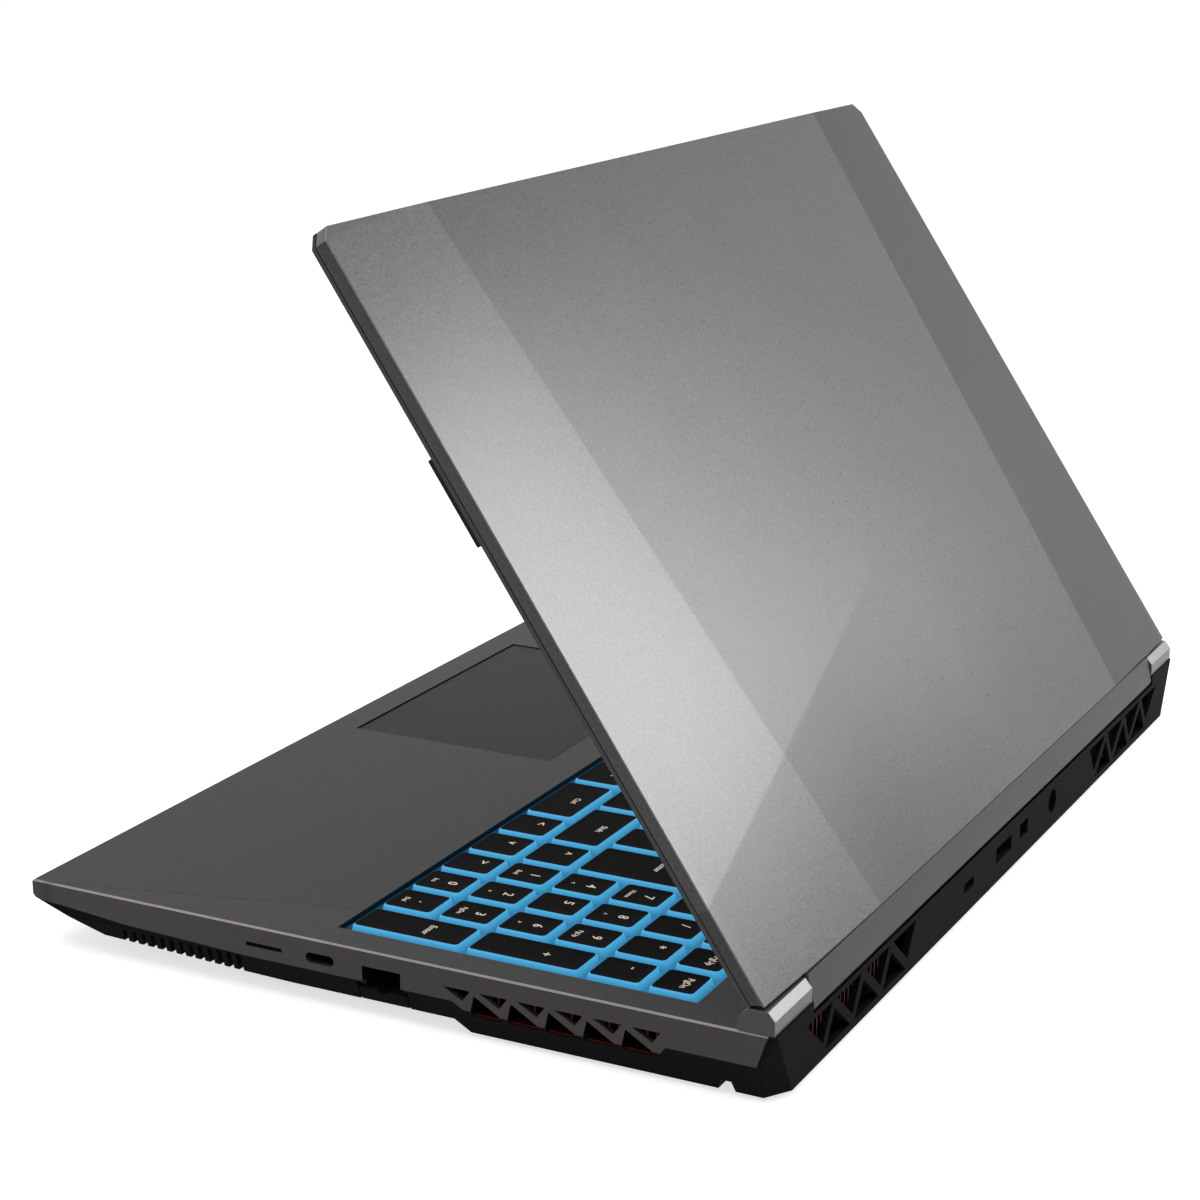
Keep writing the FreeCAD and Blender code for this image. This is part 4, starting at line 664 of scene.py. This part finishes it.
    def word(self, text: str, size_mm: float, x: float, y: float, z: float) -> bpy.types.Mesh:
        """Flat letters centred on a point.

        Args:
            text: The letters.
            size_mm: Their size.
            x: Centre along the keyboard.
            y: Centre across the keyboard.
            z: Height of their middle.

        Returns:
            The letters' mesh.
        """
        curve = bpy.data.curves.new("legend", "FONT")
        curve.body = text
        curve.size = size_mm * MM
        curve.align_x = "CENTER"
        curve.align_y = "CENTER"
        curve.extrude = self.legend_lift_mm * MM
        curve.offset = size_mm * MM * self.stroke_share
        curve.resolution_u = self.stroke_steps
        holder = bpy.data.objects.new("legend", curve)
        bpy.context.scene.collection.objects.link(holder)
        bpy.context.view_layer.update()
        drawn = holder.evaluated_get(bpy.context.evaluated_depsgraph_get())
        shape = bpy.data.meshes.new_from_object(drawn)
        bpy.data.objects.remove(holder)
        bpy.data.curves.remove(curve)
        shape.transform(Matrix.Translation((x, y, z)))
        return shape

    def legend(self, text: str, place: KeyPlace) -> list[bpy.types.Mesh]:
        """Legends of one key: a sign, and a small word in front of it where there are two.

        Args:
            text: What the key says, the sign first.
            place: The key's place.

        Returns:
            The letters' meshes.
        """
        shapes = []
        width = place.high.x - place.low.x
        depth = place.high.y - place.low.y
        middle = (place.low + place.high) / 2
        z = place.high.z - self.dish_mm * MM
        words = text.split()
        for i, word in enumerate(words):
            letter = i == 0 and len(word) == 1
            size = self.letter_mm if letter else self.small_mm if i else self.word_mm
            aside = letter and len(words) == 1 and depth < self.deep_key_mm * MM
            x = middle.x - width * (self.aside_share if aside else 0.0)
            y = middle.y + depth * (self.sign_share if i == 0 else self.small_share)
            shapes.append(self.word(word, size, x, y, z))
        return shapes

    def ink(self, node: str, legends: tuple[str, ...], places: list[KeyPlace]) -> None:
        """Join one row's legends into a single piece.

        Args:
            node: The CAD node of the row.
            legends: What each key says.
            places: Places of the keys in the same order.
        """
        joined = bmesh.new()
        for text, place in zip(legends, places):
            for shape in self.legend(text, place):
                joined.from_mesh(shape)
                bpy.data.meshes.remove(shape)
        if not joined.verts:
            joined.free()
            return
        data = bpy.data.meshes.new(f"{node}_legends")
        joined.to_mesh(data)
        joined.free()
        data.materials.append(LEGEND_INK.build())
        piece = bpy.data.objects.new(f"{node}_legends", data)
        bpy.context.scene.collection.objects.link(piece)
        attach(piece, node)
        LOG.info("%s: legends", node)

    def build(self) -> None:
        """Make every row's caps and legends and put them on their bodies."""
        side = self.side_finish()
        for node, legends in self.rows.items():
            places = self.places(node)
            mesh = bmesh.new()
            for place in places:
                self.cap(mesh, place)
            data = bpy.data.meshes.new(f"{node}_caps")
            mesh.to_mesh(data)
            mesh.free()
            # In the order of the numbers in Skin.
            data.materials.append(KEY_PAINT.build())
            data.materials.append(side.build())
            caps = bpy.data.objects.new(f"{node}_caps", data)
            bpy.context.scene.collection.objects.link(caps)
            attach(caps, node)
            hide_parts(node)
            LOG.info("%s: %d caps", node, len(places))
            self.ink(node, legends, places)


@dataclass
class Lid:
    """The lid's finish in straight-edged tones, partly a two-tone finish and partly painted
    highlight and shade, placed from the hinge joint.
    """

    # The right band is painted lighter as a painted highlight, and the left band and the lower part
    # darker as painted shade. Each is partly a two-tone finish and partly the light and shade of a
    # shallow facet. The lower part's shade fades out across the case, away from the highlight.
    right_band: Panel = Panel((103.5, 3.4, 128.0, 232.8), 1.27)
    left_band: Panel = Panel((-137.2, 232.8, -116.8, 3.4), 0.58)
    lower_part: Panel = Panel((10.2, 81.5, 180.0, 33.2), 0.75, (-15.0, 75.0))
    # The lid's side walls are painted darker as painted shade.
    wall: Facet = Facet((1.0, 0.0, 0.0), 0.85, 0.38)

    def finish(self) -> PanelFinish:
        """Blasted aluminium in several tones, partly two-tone finish and partly painted highlight
        and shade, with its side walls painted darker as shade: fine sparkle and a broad highlight
        across them.

        Returns:
            The finish with the hinge's place and opening.
        """
        hinge = next(j for j in frame["joints"] if j["name"] == "lid_hinge")
        return PanelFinish(
            "blasted_aluminium_two_tone_and_painted_facet_light", "#59595a", roughness=0.3, metallic=0.95, grain_mm=0.9,
            grain_tone=0.55, relief_mm=0.004, gloss_spread=0.03, facets=self.wall.both_sides(),
            panels=(self.right_band, self.left_band, self.lower_part), turn_y=hinge["pos_m"][1],
            turn_z=hinge["pos_m"][2], turn=-math.radians(hinge["range_deg"][0]))


@dataclass(frozen=True)
class Softbox:
    """A rectangular soft lamp: its place and size in metres and its power in watts."""

    name: str
    place: tuple[float, float, float]
    size: tuple[float, float]
    watts: float


@dataclass
class Studio:
    """Pale floor, soft lamps and the camera at the photograph's angle."""

    camera_mm: tuple[float, float, float] = (743.56, 364.70, 314.53)
    heading_deg: float = 26.614
    pitch_deg: float = 16.171
    lens_mm: float = 79.38
    sensor_mm: float = 36.0
    shift: tuple[float, float] = (-0.03954, -0.00059)
    far_clip: float = 50.0
    floor_size: float = 12.0
    floor_drop: float = 0.0002
    # With the light that falls on it, this much glow makes the floor look white.
    floor_glow: float = 0.68
    # Strength of the surroundings as light on the object, and where they are seen.
    fill_strength: float = 0.45
    white_strength: float = 1.0
    aim_height: float = 0.08
    lamps: tuple[Softbox, ...] = (
        Softbox("top_softbox", (0.4, -0.1, 1.8), (1.6, 1.6), 15.0),
        Softbox("back_left_softbox", (-0.684, 0.638, 0.477), (0.46, 0.39), 2.85))

    def camera(self) -> None:
        """Place the camera that was solved from the photograph's edges."""
        data = bpy.data.cameras.new("camera")
        data.lens = self.lens_mm
        data.sensor_width = self.sensor_mm
        data.shift_x, data.shift_y = self.shift
        data.clip_end = self.far_clip
        camera = bpy.data.objects.new("camera", data)
        bpy.context.scene.collection.objects.link(camera)
        heading = math.radians(self.heading_deg)
        pitch = math.radians(self.pitch_deg)
        ahead = Vector((-math.cos(heading) * math.cos(pitch),
                        -math.sin(heading) * math.cos(pitch), -math.sin(pitch)))
        camera.location = Vector(self.camera_mm) * MM
        camera.rotation_mode = "QUATERNION"
        camera.rotation_quaternion = ahead.to_track_quat("-Z", "Y")
        bpy.context.scene.camera = camera

    def seen_directly(self, tree: bpy.types.NodeTree) -> bpy.types.NodeSocket:
        """One for rays that show the background itself or its reflection.

        Args:
            tree: The node tree that asks.

        Returns:
            The mask.
        """
        path = add_node(tree, "ShaderNodeLightPath")
        glossy = add_node(tree, "ShaderNodeMath", {
            0: path.outputs["Is Camera Ray"], 1: path.outputs["Is Glossy Ray"]},
            operation="MAXIMUM")
        return add_node(tree, "ShaderNodeMath", {
            0: glossy.outputs[0], 1: path.outputs["Is Transmission Ray"]},
            operation="MAXIMUM").outputs[0]

    def floor(self) -> None:
        """A pale floor that keeps the object's shadow."""
        half = self.floor_size / 2
        data = bpy.data.meshes.new("floor")
        corners = [(-half, -half, 0), (half, -half, 0), (half, half, 0), (-half, half, 0)]
        data.from_pydata(corners, [], [(0, 1, 2, 3)])
        floor = bpy.data.objects.new("floor", data)
        bpy.context.scene.collection.objects.link(floor)
        floor.location.z = -self.floor_drop
        material = bpy.data.materials.new("pale_floor")
        material.use_nodes = True
        tree = material.node_tree
        tree.nodes.clear()
        matt = add_node(tree, "ShaderNodeBsdfDiffuse", {"Color": linear("#e6e6e6")})
        lift = add_node(tree, "ShaderNodeMath", {0: self.seen_directly(tree), 1: self.floor_glow},
                        operation="MULTIPLY")
        glow = add_node(tree, "ShaderNodeEmission", {
            "Color": linear("#ffffff"), "Strength": lift.outputs[0]})
        both = add_node(tree, "ShaderNodeAddShader", {0: matt.outputs[0], 1: glow.outputs[0]})
        add_node(tree, "ShaderNodeOutputMaterial", {"Surface": both.outputs[0]})
        data.materials.append(material)

    def world(self) -> None:
        """White where it is seen and a gentle fill light elsewhere."""
        world = bpy.data.worlds.new("studio")
        bpy.context.scene.world = world
        world.use_nodes = True
        tree = world.node_tree
        tree.nodes.clear()
        level = add_node(tree, "ShaderNodeMapRange", {
            "Value": self.seen_directly(tree), "To Min": self.fill_strength,
            "To Max": self.white_strength})
        sky = add_node(tree, "ShaderNodeBackground", {
            "Color": linear("#ffffff"), "Strength": level.outputs["Result"]})
        add_node(tree, "ShaderNodeOutputWorld", {"Surface": sky.outputs[0]})

    def lamp(self, softbox: Softbox) -> None:
        """Set up one lamp, aimed at the middle of the object.

        Args:
            softbox: The lamp.
        """
        data = bpy.data.lights.new(softbox.name, "AREA")
        data.shape = "RECTANGLE"
        data.size, data.size_y = softbox.size
        data.energy = softbox.watts
        lamp = bpy.data.objects.new(softbox.name, data)
        bpy.context.scene.collection.objects.link(lamp)
        lamp.location = softbox.place
        lamp.visible_camera = False
        target = Vector((0, 0, self.aim_height))
        lamp.rotation_mode = "QUATERNION"
        lamp.rotation_quaternion = (target - lamp.location).to_track_quat("-Z", "Y")

    def build(self) -> None:
        """Set up the whole studio."""
        bpy.context.scene.view_settings.view_transform = "Standard"
        self.camera()
        self.floor()
        self.world()
        for softbox in self.lamps:
            self.lamp(softbox)
        LOG.info("studio: camera, floor, surroundings and %d lamps", len(self.lamps))


CAD_FINISHES: dict[str, Finish] = {
    "top_case": DECK_ALUMINIUM, "hinge_cap_right": CAP_ZINC, "hinge_cap_left": CAP_ZINC,
    "hinge_bar": BAR_PLASTIC, "bottom_cover": COVER_ABS, "rear_panel": COVER_ABS,
    "network_jaw": COVER_ABS, "lid_bezel": BEZEL_ABS, "power_button": BEZEL_ABS,
    "touchpad": TOUCHPAD_FILM, "display_panel": SCREEN_LAMINATE, "rubber_feet": RUBBER,
    "lid_bumpers": RUBBER, "keyboard_plate": SHEET_STEEL, "keyboard_light_guide": GUIDE_FILM,
    "cover_screws": SHEET_STEEL, "touchpad_bracket": SHEET_STEEL,
    "hinge_bracket_right": SHEET_STEEL, "hinge_bracket_left": SHEET_STEEL,
    "hinge_arm_right": SHEET_STEEL, "hinge_arm_left": SHEET_STEEL,
    "card_slot": SOCKET_NICKEL, "side_usb_c_socket": SOCKET_NICKEL,
    "rear_usb_c_socket": SOCKET_NICKEL, "display_socket_wide": SOCKET_NICKEL,
    "display_socket_small": SOCKET_NICKEL, "usb_a_socket": SOCKET_NICKEL,
    "network_jack": SOCKET_PLASTIC, "audio_jacks": SOCKET_PLASTIC, "power_inlet": SOCKET_PLASTIC,
    "camera_module": SOCKET_PLASTIC, "motherboard": SOLDER_MASK, "side_board_right": SOLDER_MASK,
    "side_board_left": SOLDER_MASK, "ssd_card": SOLDER_MASK, "memory_modules": SOLDER_MASK,
    "wireless_card": SOLDER_MASK, "battery_pack": BATTERY_WRAP, "heat_pipes": FIN_COPPER,
    "cold_plates": FIN_COPPER, "rear_fins_right": FIN_COPPER, "rear_fins_left": FIN_COPPER,
    "side_fins_right": FIN_COPPER, "side_fins_left": FIN_COPPER, "fan_housing_right": FAN_PLASTIC,
    "fan_housing_left": FAN_PLASTIC, "fan_rotor_right": FAN_PLASTIC,
    "fan_rotor_left": FAN_PLASTIC, "speaker_right": FAN_PLASTIC, "speaker_left": FAN_PLASTIC,
}
SOFT_EDGES_MM: dict[str, float] = {
    "lid_cover": 0.5, "lid_bezel": 0.2, "hinge_bar": 0.35, "hinge_cap_right": 0.25,
    "hinge_cap_left": 0.25, "touchpad": 0.2, "power_button": 0.25, "network_jaw": 0.3,
    "rubber_feet": 0.4, "lid_bumpers": 0.25,
}


def main() -> None:
    """Dress the frame, make the keys and set up the studio."""
    logging.basicConfig(level=logging.INFO, format="%(message)s")
    CadDress().dress({**CAD_FINISHES, "lid_cover": Lid().finish()}, SOFT_EDGES_MM)
    Keyboard().build()
    Studio().build()


if __name__ == "__main__":
    main()
